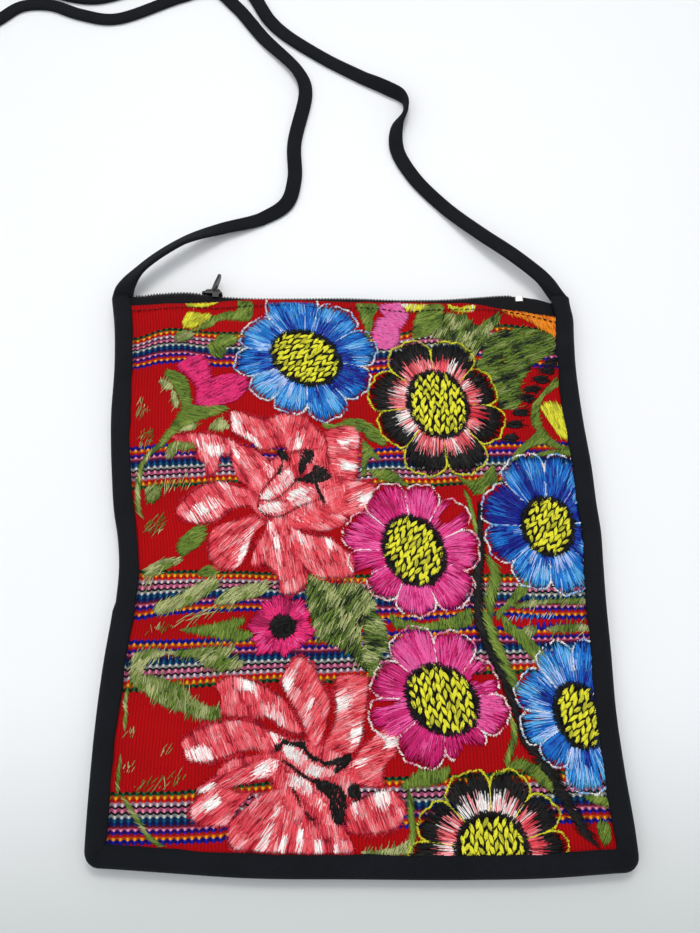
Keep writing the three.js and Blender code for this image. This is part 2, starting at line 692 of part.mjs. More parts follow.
const slider = new THREE.Group();
slider.position.set(SLIDER_X, BOTTOM_Y + zipUp(SLIDER_X), EDGE_Z);
slider.add(piece("zip_slider", sliderGeometry(), 0x1c1b1f, 0.45, 0.4));
const pull = piece("zip_pull", pullGeometry(), 0x1c1b1f, 0.45, 0.4);
pull.position.y = PIVOT_OUT;
pull.rotation.z = degToRad(PULL_ANGLE);
slider.add(pull);
bag.add(slider);

const stopX = (STOP.left + STOP.right) / 2;
const stop = piece("zip_stop", stopGeometry(), 0xd9d6cf, 0.35, 0.8);
stop.position.set(stopX, BOTTOM_Y + zipUp(stopX), EDGE_Z);
bag.add(stop);

bag.add(piece("strap", strapGeometry(), 0x18171e, 0.88));

export default bag;
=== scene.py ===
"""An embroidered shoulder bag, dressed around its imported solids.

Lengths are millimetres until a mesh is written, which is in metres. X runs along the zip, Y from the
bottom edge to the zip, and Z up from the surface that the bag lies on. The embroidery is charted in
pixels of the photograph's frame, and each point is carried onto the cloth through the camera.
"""

import logging
import math
from dataclasses import dataclass, field
from enum import Enum
from typing import Callable

import bpy
import numpy as np
from mathutils import Matrix, Vector
from mathutils.bvhtree import BVHTree


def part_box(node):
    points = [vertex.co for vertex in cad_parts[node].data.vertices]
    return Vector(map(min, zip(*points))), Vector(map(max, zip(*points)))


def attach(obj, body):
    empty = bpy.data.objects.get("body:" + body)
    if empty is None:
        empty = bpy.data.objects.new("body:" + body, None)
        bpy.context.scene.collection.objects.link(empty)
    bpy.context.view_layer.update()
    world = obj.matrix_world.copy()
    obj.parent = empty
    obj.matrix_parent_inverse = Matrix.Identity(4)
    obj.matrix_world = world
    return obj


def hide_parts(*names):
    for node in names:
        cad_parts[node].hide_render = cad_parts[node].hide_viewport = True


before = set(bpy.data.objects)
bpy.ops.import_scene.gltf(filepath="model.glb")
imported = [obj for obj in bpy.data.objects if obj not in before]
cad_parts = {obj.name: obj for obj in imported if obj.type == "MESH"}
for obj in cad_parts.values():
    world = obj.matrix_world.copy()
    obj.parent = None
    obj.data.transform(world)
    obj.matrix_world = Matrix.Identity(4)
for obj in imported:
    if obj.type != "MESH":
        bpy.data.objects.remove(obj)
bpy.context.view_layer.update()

LOG = logging.getLogger("shoulder_bag")
MM = 0.001
FULL_TURN = 2.0 * math.pi
BODY = "bag"
Array = np.ndarray
Chance = np.random.Generator
Triple = tuple[float, float, float]
Colour = Triple
Pair = tuple[float, float]
Ends = tuple[Array, Array]
Numbers = tuple[float, ...]
Pixels = tuple[Pair, ...]
Material = bpy.types.Material
Socket = bpy.types.NodeSocket


class Slot(Enum):
    """The material slots of the new pieces."""

    FRONT = "woven_front"
    BACK = "back_cloth"
    TAPE = "dark_tape"
    ZIP_TAPE = "zip_tape"
    COIL = "zip_coil"


def linear(red: float, green: float, blue: float) -> Colour:
    """A colour as the eye sees it, turned into the renderer's linear numbers.

    Args:
        red, green, blue: the colour's parts from 0 to 255.

    Returns:
        The three linear parts from 0 to 1.
    """
    parts = np.array([red, green, blue]) / 255.0
    bent = np.where(parts <= 0.04045, parts / 12.92, ((parts + 0.055) / 1.055) ** 2.4)
    return tuple(float(part) for part in bent)


def paired(*numbers: float) -> Pixels:
    """Pixels that are charted as X and Y in turn."""
    return tuple(zip(numbers[::2], numbers[1::2]))


# Sampling and smooth curves


def smoothstep(value: Array, low: float, high: float) -> Array:
    """Rises from 0 at low to 1 at high with level ends."""
    share = np.clip((value - low) / (high - low), 0.0, 1.0)
    return share * share * (3.0 - 2.0 * share)


def unit(rows: Array) -> Array:
    """Each row made one long."""
    return rows / np.linalg.norm(rows, axis=1)[:, None]


def heading(turn: Array) -> Array:
    """Directions in the plane at angles from X."""
    return np.stack([np.cos(turn), np.sin(turn)], axis=-1)


def left_of(way: Array) -> Array:
    """Directions in the plane a quarter turn to the left of others."""
    return np.stack([-way[..., 1], way[..., 0]], axis=-1)


def read_column(places: Array, values: Array, at: Array) -> Array:
    """A smooth line through a short table: cubic pieces whose slope at a row is that of its neighbours.

    Args:
        places: the rows' places in rising order.
        values: the rows' values.
        at: the places to read.

    Returns:
        The values there, level past the first and last row.
    """
    places, values = np.asarray(places, float), np.asarray(values, float)
    at = np.clip(np.asarray(at, float), places[0], places[-1])
    slopes = np.gradient(values, places)
    row = np.clip(np.searchsorted(places, at) - 1, 0, len(places) - 2)
    step = places[row + 1] - places[row]
    share = (at - places[row]) / step
    rise = values[row + 1] - values[row]
    first, last = slopes[row] * step, slopes[row + 1] * step
    cubic = (first + last - 2.0 * rise) * share + (3.0 * rise - 2.0 * first - last)
    return values[row] + share * (first + share * cubic)


def closed_curve(corners: Array, steps: int = 6) -> Array:
    """A smooth closed outline through given corners, by uniform Catmull-Rom pieces.

    Args:
        corners: the corners in order.
        steps: points on each piece.

    Returns:
        The outline's points.
    """
    share = (np.arange(steps) / steps)[None, :, None]
    before, here, after, later = (np.roll(corners, shift, axis=0)[:, None, :] for shift in (1, 0, -1, -2))
    bend = (2 * before - 5 * here + 4 * after - later) + (3 * here - before - 3 * after + later) * share
    curve = here + 0.5 * share * ((after - before) + share * bend)
    return curve.reshape(-1, corners.shape[1])


def path_length(points: Array) -> Array:
    """Distance gone at each point of a line."""
    return np.concatenate([[0.0], np.cumsum(np.linalg.norm(np.diff(points, axis=0), axis=1))])


def spaced(line: Array, even: Array) -> Array:
    """Points of a line at distances along it."""
    gone = path_length(line)
    return np.stack([np.interp(even, gone, column) for column in line.T], axis=1)


def open_curve(corners: Array, count: int) -> Array:
    """A smooth open line through given corners, evenly spaced along its length.

    Args:
        corners: the corners in order.
        count: how many points to return.

    Returns:
        The line's points.
    """
    rows = np.arange(len(corners), dtype=float)
    dense = np.linspace(0.0, rows[-1], 24 * len(corners))
    line = np.stack([read_column(rows, column, dense) for column in corners.T], axis=1)
    return spaced(line, np.linspace(0.0, path_length(line)[-1], count))


def wobble(at: Array, wavelength: float, seed: int) -> Array:
    """A smooth wandering value about 0, of a size near 1: three sines with seeded phases.

    Args:
        at: places along a line.
        wavelength: the longest of the three waves.
        seed: which wandering.

    Returns:
        The value at each place.
    """
    phases = np.random.default_rng(seed).uniform(0.0, FULL_TURN, 3)
    paces = zip((1.0, 1.7, 2.9), phases)
    first, second, third = (np.sin(FULL_TURN * at * pace / wavelength + phase) for pace, phase in paces)
    return (first + 0.7 * second + 0.5 * third) / 1.5


# Meshes


@dataclass
class Surface:
    """A mesh before it is written: vertices in millimetres, faces, and what its finish reads."""

    points: Array
    faces: list
    uv: Array | None = None
    colour: Array | None = None


def grid_shares(columns: int, rows: int) -> Ends:
    """Shares across and along a grid from 0 to 1, for vertices that run along the columns first."""
    across, along = np.meshgrid(np.linspace(0.0, 1.0, columns), np.linspace(0.0, 1.0, rows))
    return across.ravel(), along.ravel()


def grid_faces(rows: int, columns: int, round_columns: bool = False, first: int = 0) -> list:
    """Quads between neighbours of a grid whose vertices run along the columns first.

    Args:
        rows, columns: the grid's size in vertices.
        round_columns: whether the last column joins the first.
        first: the first vertex's number.

    Returns:
        Four vertex numbers for each quad.
    """
    across = np.arange(columns if round_columns else columns - 1)
    down = np.arange(rows - 1)[:, None]
    here, beside = down * columns + across, down * columns + (across + 1) % columns
    quads = np.stack([here, beside, beside + columns, here + columns], axis=-1)
    return (quads.reshape(-1, 4) + first).tolist()


def swept_faces(rows: int, sides: int, first: int = 0) -> list:
    """Faces of a closed section carried along a path, with a cap at each end.

    Args:
        rows: points on the path.
        sides: points round the section.
        first: the first vertex's number.

    Returns:
        The vertex numbers of each face.
    """
    last = first + (rows - 1) * sides
    caps = [list(range(first, first + sides))[::-1], list(range(last, last + sides))]
    return grid_faces(rows, sides, True, first) + caps


def tube(line: Array, wide: Array, tall: Array, sides: int, first: int = 0) -> Surface:
    """A closed tube along a line: a cosine of one arm and a sine of the other at each point.

    Args:
        line: the line's points.
        wide, tall: the two arms of the section at each point.
        sides: points round the section.
        first: the first vertex's number.

    Returns:
        The tube.
    """
    angle = np.linspace(0.0, FULL_TURN, sides, endpoint=False)[None, :, None]
    points = line[:, None, :] + wide[:, None, :] * np.cos(angle) + tall[:, None, :] * np.sin(angle)
    return Surface(points.reshape(-1, 3), swept_faces(len(line), sides, first))


def put(name: str, data: bpy.types.ID) -> bpy.types.Object:
    """A new object of the scene, at the origin.

    Args:
        name: its name.
        data: its mesh, light or camera.

    Returns:
        The object.
    """
    made = bpy.data.objects.new(name, data)
    bpy.context.scene.collection.objects.link(made)
    return made


def write_piece(
    name: str, surface: Surface, material: Material, slot: Slot, *replaced: str
) -> bpy.types.Object:
    """Puts a surface into a mesh object and hangs it on the bag.

    Args:
        name: the piece's name.
        surface: what it is made of.
        material: its finish.
        slot: the slot of its finish; not used.
        replaced: the solids that it stands for.

    Returns:
        The new object.
    """
    mesh = bpy.data.meshes.new(name)
    mesh.from_pydata((surface.points * MM).tolist(), [], surface.faces)
    corner_vertex = np.zeros(len(mesh.loops), np.int32)
    mesh.loops.foreach_get("vertex_index", corner_vertex)
    if surface.uv is not None:
        layer = mesh.uv_layers.new(name="weave")
        layer.data.foreach_set("uv", surface.uv[corner_vertex].astype(np.float32).ravel())
    if surface.colour is not None:
        tint = mesh.color_attributes.new("thread", "FLOAT_COLOR", "POINT")
        rgba = np.concatenate([surface.colour, np.ones((len(surface.colour), 1))], axis=1)
        tint.data.foreach_set("color", rgba.astype(np.float32).ravel())
    mesh.polygons.foreach_set("use_smooth", np.ones(len(mesh.polygons), bool))
    mesh.materials.append(material)
    mesh.update()
    piece = put(name, mesh)
    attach(piece, BODY)
    if replaced:
        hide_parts(*replaced)
    LOG.info("%s: %d vertices, %d faces", name, len(mesh.vertices), len(mesh.polygons))
    return piece


def add_wall(piece: bpy.types.Object, thick: float, offset: float) -> None:
    """Gives a sheet its thickness: below its face at an offset of -1, about it at 0."""
    wall = piece.modifiers.new("wall", "SOLIDIFY")
    wall.thickness, wall.offset = thick * MM, offset


# Finishes, where a noise is its repeats in a metre and its detail, and a range a scale and a shift


class Shader:
    """A material's nodes, put together by short calls."""

    def __init__(self, name: str) -> None:
        """Starts a material with one principled surface.

        Args:
            name: its name.
        """
        self.material = bpy.data.materials.new(name)
        self.material.use_nodes = True
        self.tree = self.material.node_tree
        self.surface = self.tree.nodes["Principled BSDF"]

    def feed(self, socket: Socket, value: object) -> None:
        """Links a socket to another, or sets a plain value on it."""
        if isinstance(value, Socket):
            self.tree.links.new(value, socket)
        else:
            socket.default_value = value

    def node(self, kind: str, inputs: dict | None = None, **settings: object) -> bpy.types.Node:
        """A new shader node.

        Args:
            kind: its kind.
            inputs: what its sockets take, by their names or numbers.
            settings: its own settings.

        Returns:
            The node.
        """
        made = self.tree.nodes.new("ShaderNode" + kind)
        for key, value in settings.items():
            setattr(made, key, value)
        for key, value in (inputs or {}).items():
            self.feed(made.inputs[key], value)
        return made

    def math(self, operation: str, *values: object) -> Socket:
        """The result of a math node on sockets or numbers."""
        return self.node("Math", dict(enumerate(values)), operation=operation).outputs[0]

    def times(self, first: object, second: object) -> Socket:
        """A product."""
        return self.math("MULTIPLY", first, second)

    def fit(self, value: Socket, scale: object, shift: object) -> Socket:
        """A value scaled and then shifted."""
        return self.math("MULTIPLY_ADD", value, scale, shift)

    def wave(self, value: Socket, length: float) -> Socket:
        """A sine that repeats after a length."""
        return self.math("SINE", self.times(value, FULL_TURN / length))

    def mix(self, share: object, first: object, second: object) -> Socket:
        """Two colours mixed by a share."""
        values = [(*value, 1.0) if isinstance(value, tuple) else value for value in (share, first, second)]
        return self.node("Mix", dict(zip((0, 6, 7), values)), data_type="RGBA").outputs[2]

    def shaded(self, colour: Socket, shade: Socket) -> Socket:
        """A colour scaled by a shade."""
        return self.node("VectorMath", {0: colour, "Scale": shade}, operation="SCALE").outputs[0]

    def place(self) -> Socket:
        """The object's own coordinates."""
        return self.node("TexCoord").outputs["Object"]

    def split(self, vector: Socket) -> list[Socket]:
        """The three parts of a vector."""
        return list(self.node("SeparateXYZ", {0: vector}).outputs)

    def weave(self) -> list[Socket]:
        """The two coordinates of the piece's own weave map."""
        return self.split(self.node("UVMap", uv_map="weave").outputs[0])[:2]

    def noise(self, scale: float, detail: float, stretch: Triple = (1.0, 1.0, 1.0)) -> Socket:
        """A noise value in object coordinates, scale being repeats in a metre."""
        spread = self.node("Mapping", {"Vector": self.place(), "Scale": stretch}).outputs[0]
        return self.node("TexNoise", {"Vector": spread, "Scale": scale, "Detail": detail}).outputs["Fac"]

    def ramp(self, place: Socket, stops: list[tuple[float, Colour]]) -> Socket:
        """Colours in steps.

        Args:
            place: where to read, from 0 to 1.
            stops: where each colour starts, and the colour.

        Returns:
            The colour there.
        """
        made = self.node("ValToRGB", {0: place})
        made.color_ramp.interpolation = "CONSTANT"
        band = made.color_ramp.elements
        while len(band) < len(stops):
            band.new(1.0)
        for element, (position, colour) in zip(band, stops):
            element.position = position
            element.color = (*colour, 1.0)
        return made.outputs[0]

    def bump(self, height: Socket, distance: float) -> None:
        """Raises the surface's shading by a height, distance being in millimetres."""
        made = self.node("Bump", {"Strength": 1.0, "Distance": distance * MM, "Height": height})
        self.feed(self.surface.inputs["Normal"], made.outputs[0])

    def set(self, **values: object) -> Material:
        """Sets or links the surface's own inputs and gives the material back."""
        for key, value in values.items():
            self.feed(self.surface.inputs[key.replace("_", " ").title().replace("Ior", "IOR")], value)
        return self.material


@dataclass(frozen=True)
class TwillFinish:
    """Near-black twill tape: slanting wales over the tape's own length and width, with painted shade in their
    grooves.
    """

    name: str
    # Painted shade of the wales' grooves, and the colour of their crowns.
    groove_shade: Colour = linear(5, 6, 9)
    crown: Colour = linear(24, 27, 35)
    wale: float = 0.95
    fine: float = 0.3
    relief: float = 0.16
    wear_noise: Pair = (90.0, 4.0)
    wear_range: Pair = (0.9, 0.12)
    roughness: float = 0.78
    gloss: float = 0.16

    def material(self) -> Material:
        """Wales rise along the sum of the two weave coordinates, crossed by a thread three times as fine.

        Returns:
            The material, worn by a noise.
        """
        shader = Shader(self.name)
        along, across = shader.weave()
        wale = shader.fit(shader.wave(shader.math("ADD", along, across), self.wale), 0.5, 0.5)
        fine = shader.fit(shader.wave(shader.math("SUBTRACT", along, across), self.wale / 3.0), 0.5, 0.5)
        height = shader.fit(fine, self.fine, wale)
        shader.bump(height, self.relief)
        worn = shader.fit(shader.noise(*self.wear_noise), *self.wear_range)
        # Painted shade: the colour follows the wales' height and is darkest in the grooves; the wear noise
        # darkens it here and there.
        colour = shader.mix(shader.times(height, worn), self.groove_shade, self.crown)
        return shader.set(base_color=colour, roughness=self.roughness, specular_ior_level=self.gloss)


@dataclass(frozen=True)
class PlainClothFinish:
    """Plain dark cotton: a one-over-one weave, with painted shade in its hollows."""

    name: str
    # The dark colour is painted shade in the weave's hollows; the pale one is the colour of its crowns.
    dark: Colour = linear(13, 13, 19)
    pale: Colour = linear(34, 34, 44)
    thread: float = 0.55
    relief: float = 0.12
    lint_noise: Pair = (60.0, 5.0)
    lint_range: Pair = (0.8, 0.2)
    roughness: float = 0.9
    gloss: float = 0.16

    def material(self) -> Material:
        """Warp and weft crowns are the product of two sines in the cloth's plane.

        Returns:
            The material, with lint by a noise.
        """
        shader = Shader(self.name)
        warp, weft = (shader.wave(way, 2.0 * self.thread * MM) for way in shader.split(shader.place())[:2])
        height = shader.fit(shader.times(warp, weft), 0.5, 0.5)
        shader.bump(height, self.relief)
        lint = shader.fit(shader.noise(*self.lint_noise), *self.lint_range)
        # Painted shade: the weave's hollows take the dark colour; the lint noise varies it.
        colour = shader.mix(shader.times(height, lint), self.dark, self.pale)
        return shader.set(base_color=colour, roughness=self.roughness, specular_ior_level=self.gloss)


@dataclass(frozen=True)
class CoilFinish:
    """Black nylon with a soft gloss and a little dust."""

    name: str
    dark: Colour = linear(13, 13, 16)
    dust: Colour = linear(44, 44, 48)
    dust_noise: Pair = (700.0, 3.0)
    dust_power: float = 2.5
    roughness: float = 0.42

    def material(self) -> Material:
        """A fine noise to a power shares out the dust.

        Returns:
            The material.
        """
        shader = Shader(self.name)
        share = shader.math("POWER", shader.noise(*self.dust_noise), self.dust_power)
        return shader.set(base_color=shader.mix(share, self.dark, self.dust), roughness=self.roughness)


@dataclass(frozen=True)
class EnamelFinish:
    """Black enamel on metal, rubbed to grey in places."""

    name: str
    dark: Colour = linear(13, 13, 15)
    rubbed: Colour = linear(44, 43, 46)
    rub_noise: Pair = (420.0, 5.0)
    rub_power: float = 5.0
    brush_noise: Pair = (1500.0, 2.0)
    brush_stretch: Triple = (1.0, 0.15, 1.0)
    gloss_range: Pair = (0.25, 0.25)
    metallic: float = 0.3

    def material(self) -> Material:
        """Grey shows where a noise is high, and a drawn-out noise leaves brush marks in the gloss.

        Returns:
            The material.
        """
        shader = Shader(self.name)
        rub = shader.math("POWER", shader.noise(*self.rub_noise), self.rub_power)
        brushed = shader.fit(shader.noise(*self.brush_noise, self.brush_stretch), *self.gloss_range)
        colour = shader.mix(rub, self.dark, self.rubbed)
        return shader.set(base_color=colour, roughness=brushed, metallic=self.metallic)


@dataclass(frozen=True)
class PaleMetalFinish:
    """Bare pale metal of the zip's stop."""

    name: str
    bright: Colour = linear(225, 223, 216)
    dimmer: Colour = linear(150, 148, 142)
    grain_noise: Pair = (900.0, 4.0)
    gloss_range: Pair = (0.3, 0.2)
    metallic: float = 0.85

    def material(self) -> Material:
        """A fine noise dulls both the colour and the gloss.

        Returns:
            The material.
        """
        shader = Shader(self.name)
        share = shader.noise(*self.grain_noise)
        colour, rough = shader.mix(share, self.bright, self.dimmer), shader.fit(share, *self.gloss_range)
        return shader.set(base_color=colour, roughness=rough, metallic=self.metallic)


@dataclass(frozen=True)
class ThreadFinish:
    """Embroidery floss in the colour that each stitch carries."""

    name: str
    grain_noise: Pair = (800.0, 2.0)
    shade_range: Pair = (0.3, 0.85)
    roughness: float = 0.46
    gloss: float = 0.2

    def material(self) -> Material:
        """The stitch's own colour, varied a little by a fine noise, with a silky sheen.

        Returns:
            The material.
        """
        shader = Shader(self.name)
        thread = shader.node("VertexColor", layer_name="thread").outputs[0]
        colour = shader.shaded(thread, shader.fit(shader.noise(*self.grain_noise), *self.shade_range))
        return shader.set(base_color=colour, roughness=self.roughness, specular_ior_level=self.gloss)


@dataclass(frozen=True)
class StripeRow:
    """One row of a woven band: its height and the colours of its alternate beads, from 0 to 255."""

    height: float
    bead: Colour
    between: Colour


GROUND_RED = linear(168, 3, 9)
BAND_ROWS = (
    StripeRow(1.3, (16, 92, 52), (18, 26, 22)),
    StripeRow(1.0, (240, 170, 20), (205, 60, 14)),
    StripeRow(1.2, (214, 34, 18), (190, 20, 20)),
    StripeRow(1.1, (216, 200, 204), (170, 128, 156)),
    StripeRow(0.8, (38, 12, 30), (26, 14, 24)),
    StripeRow(1.2, (232, 138, 168), (196, 84, 128)),
    StripeRow(0.8, (30, 16, 28), (20, 34, 26)),
    StripeRow(1.0, (206, 204, 196), (150, 156, 152)),
    StripeRow(1.2, (16, 88, 118), (10, 40, 96)),
    StripeRow(1.2, (18, 44, 116), (10, 22, 78)),
    StripeRow(0.8, (130, 22, 34), (90, 16, 40)),
    StripeRow(0.8, (236, 150, 176), (196, 66, 110)),
    StripeRow(1.2, (46, 26, 150), (26, 14, 104)),
    StripeRow(0.8, (204, 22, 24), (186, 18, 22)),
    StripeRow(1.0, (244, 164, 24), (216, 60, 12)),
    StripeRow(1.4, (30, 26, 160), (20, 16, 110)),
)
BAND_HEIGHT = sum(row.height for row in BAND_ROWS)
BAND_MARGIN = 0.06


@dataclass(frozen=True)
class WovenFinish:
    """Ribbed red cotton with bands of zigzag rows. The weave map holds the rib and the place in a band."""

    name: str
    zigzag: float = 0.7
    ragged: float = 0.03
    ragged_noise: Pair = (900.0, 2.0)
    groove_shade_range: Pair = (0.9, 0.62)
    fade_noise: Pair = (38.0, 4.0)
    fade_range: Pair = (0.5, 0.74)
    relief: float = 0.2
    roughness: float = 0.86
    gloss: float = 0.1

    def stops(self, colours: list[Colour]) -> list[tuple[float, Colour]]:
        """Stops up a band for one colour in each row, with the red ground before and after them.

        Args:
            colours: the rows' colours.

        Returns:
            Where each colour starts, and the colour.
        """
        stops, gone = [(0.0, GROUND_RED)], 0.0
        for row, colour in zip(BAND_ROWS, colours):
            stops.append((BAND_MARGIN + (1.0 - 2.0 * BAND_MARGIN) * gone / BAND_HEIGHT, colour))
            gone += row.height
        return stops + [(1.0 - BAND_MARGIN, GROUND_RED)]

    def material(self) -> Material:
        """Rows shift up and down from rib to rib, and each rib has painted shade in its grooves.

        Returns:
            The material, faded here and there by a wide noise.
        """
        shader = Shader(self.name)
        rib, band = shader.weave()
        bead = shader.math("PINGPONG", rib, 1.0)
        shift = shader.fit(bead, self.zigzag / BAND_HEIGHT, -0.5 * self.zigzag / BAND_HEIGHT)
        ragged = shader.fit(shader.noise(*self.ragged_noise), self.ragged, -0.5 * self.ragged)
        place = shader.math("ADD", shader.math("ADD", band, shift), ragged)
        spot = shader.fit(place, 1.0 - 2.0 * BAND_MARGIN, BAND_MARGIN)
        bright = [linear(*row.bead) for row in BAND_ROWS]
        dim = [tuple(0.5 * part for part in linear(*row.between)) for row in BAND_ROWS]
        alternate = shader.math("SMOOTH_MIN", shader.times(bead, 1.3), 1.0, 0.3)
        woven = shader.mix(alternate, *(shader.ramp(spot, self.stops(beads)) for beads in (bright, dim)))
        crown = shader.math("PINGPONG", shader.math("ADD", rib, 0.5), 0.5)
        # Painted shade: the colour is darkened towards each rib's grooves.
        groove_shade = shader.fit(shader.math("SMOOTH_MIN", crown, 0.4, 0.2), *self.groove_shade_range)
        faded = shader.fit(shader.noise(*self.fade_noise), *self.fade_range)
        colour = shader.shaded(woven, shader.times(groove_shade, faded))
        shader.bump(shader.fit(shader.wave(place, 1.0 / len(BAND_ROWS)), 0.2, crown), self.relief)
        return shader.set(base_color=colour, roughness=self.roughness, specular_ior_level=self.gloss)


@dataclass(frozen=True)
class FloorFinish:
    """Plain pale board, with painted shade in front of the bag where the light falls off."""

    name: str = "pale_board"
    pale: Colour = linear(232, 233, 233)
    # Painted shade: the floor's colour in front of the bag, and where it starts.
    dimmer: Colour = linear(190, 194, 191)
    shade_at: float = -0.165
    fade: float = 0.12
    roughness: float = 0.9

    def material(self) -> Material:
        """The painted shade fades into the pale colour along Y.

        Returns:
            The material.
        """
        shader = Shader(self.name)
        reach = {
            "Value": shader.split(shader.place())[1],
            "From Min": self.shade_at,
            "From Max": self.shade_at + self.fade,
        }
        share = shader.node("MapRange", reach, interpolation_type="SMOOTHSTEP").outputs[0]
        return shader.set(base_color=shader.mix(share, self.dimmer, self.pale), roughness=self.roughness)


# Camera, floor and light


@dataclass
class PhotoCamera:
    """The camera: its place over the bag, its tilt from straight down, and its focal length in pixels."""

    place: Triple = (1.0, -147.4, 417.2)
    tilt: float = 23.5
    roll: float = 0.8
    focal: float = 1150.0
    width: int = 700
    height: int = 933
    sensor: float = 36.0
    clip: Pair = (0.01, 20.0)

    def axes(self) -> tuple[Array, Array, Array]:
        """The picture's right, its down and the way that the camera looks.

        Returns:
            Three unit vectors.
        """
        tilt, roll = math.radians(self.tilt), math.radians(self.roll)
        look = np.array([0.0, math.sin(tilt), -math.cos(tilt)])
        right, down = np.array([1.0, 0.0, 0.0]), np.array([0.0, -math.cos(tilt), -math.sin(tilt)])
        turned = math.cos(roll) * right + math.sin(roll) * down
        return turned, math.cos(roll) * down - math.sin(roll) * right, look

    def on_level(self, pixels: Array, level: Array) -> Array:
        """Where the lines of sight through some pixels meet a level.

        Args:
            pixels: the pixels.
            level: the height for each of them.

        Returns:
            X and Y for each pixel.
        """
        right, down, look = self.axes()
        aside = (pixels - np.array([self.width, self.height]) / 2.0) / self.focal
        ray = aside[:, :1] * right + aside[:, 1:] * down + look
        reach = (level - self.place[2]) / ray[:, 2]
        return np.array(self.place[:2]) + reach[:, None] * ray[:, :2]

    def build(self) -> None:
        """Makes the scene's camera."""
        right, down, look = self.axes()
        data = bpy.data.cameras.new("camera")
        data.sensor_width = self.sensor
        data.lens = self.focal * self.sensor / self.height
        data.clip_start, data.clip_end = self.clip
        camera = put("camera", data)
        turn = Matrix((right, -down, -look)).transposed()
        camera.matrix_world = Matrix.Translation(Vector(self.place) * MM) @ turn.to_4x4()
        bpy.context.scene.camera = camera


@dataclass
class Lamp:
    """A soft square light: its place, target, side in metres, power, warmth and spread."""

    place: Triple
    target: Triple
    side: float
    power: float
    colour: Colour
    spread: float = 180.0

    def build(self, name: str) -> None:
        """Makes the light.

        Args:
            name: its name.
        """
        data = bpy.data.lights.new(name, "AREA")
        data.shape = "SQUARE"
        data.size, data.energy, data.color = self.side, self.power, self.colour
        data.spread = math.radians(self.spread)
        lamp = put(name, data)
        lamp.location = self.place
        lamp.rotation_mode = "QUATERNION"
        lamp.rotation_quaternion = (Vector(self.target) - Vector(self.place)).to_track_quat("-Z", "Y")


@dataclass
class Studio:
    """A pale floor with painted shade in front of the bag, under soft light that comes from beyond the zip.
    """

    floor_half: float = 6000.0
    floor_lines: int = 9
    sky: Colour = (0.93, 0.95, 1.0)
    sky_strength: float = 0.78
    lamps: dict[str, Lamp] = field(
        default_factory=lambda: {
            "key_light": Lamp((0.06, 0.55, 0.95), (0.0, 0.15, 0.0), 0.65, 0.56, (1.0, 0.99, 0.965), 36.0),
            "fill_light": Lamp((-0.5, -0.35, 1.1), (0.0, 0.0, 0.0), 1.2, 3.2, (0.97, 0.98, 1.0)),
        }
    )

    def build(self) -> None:
        """Makes the floor, the lights and the sky."""
        across, along = grid_shares(self.floor_lines, self.floor_lines)
        points = np.stack([across - 0.5, along - 0.5, np.zeros_like(across)], axis=1) * 2.0 * self.floor_half
        mesh = bpy.data.meshes.new("floor")
        mesh.from_pydata((points * MM).tolist(), [], grid_faces(self.floor_lines, self.floor_lines))
        mesh.materials.append(FloorFinish().material())
        floor = put("floor", mesh)
        for name, lamp in self.lamps.items():
            lamp.build(name)
        world = bpy.data.worlds.new("sky")
        world.use_nodes = True
        background = world.node_tree.nodes["Background"]
        background.inputs["Color"].default_value = (*self.sky, 1.0)
        background.inputs["Strength"].default_value = self.sky_strength
        bpy.context.scene.world = world
        bpy.context.scene.view_settings.view_transform = "Standard"


# The bag's outline and cloth


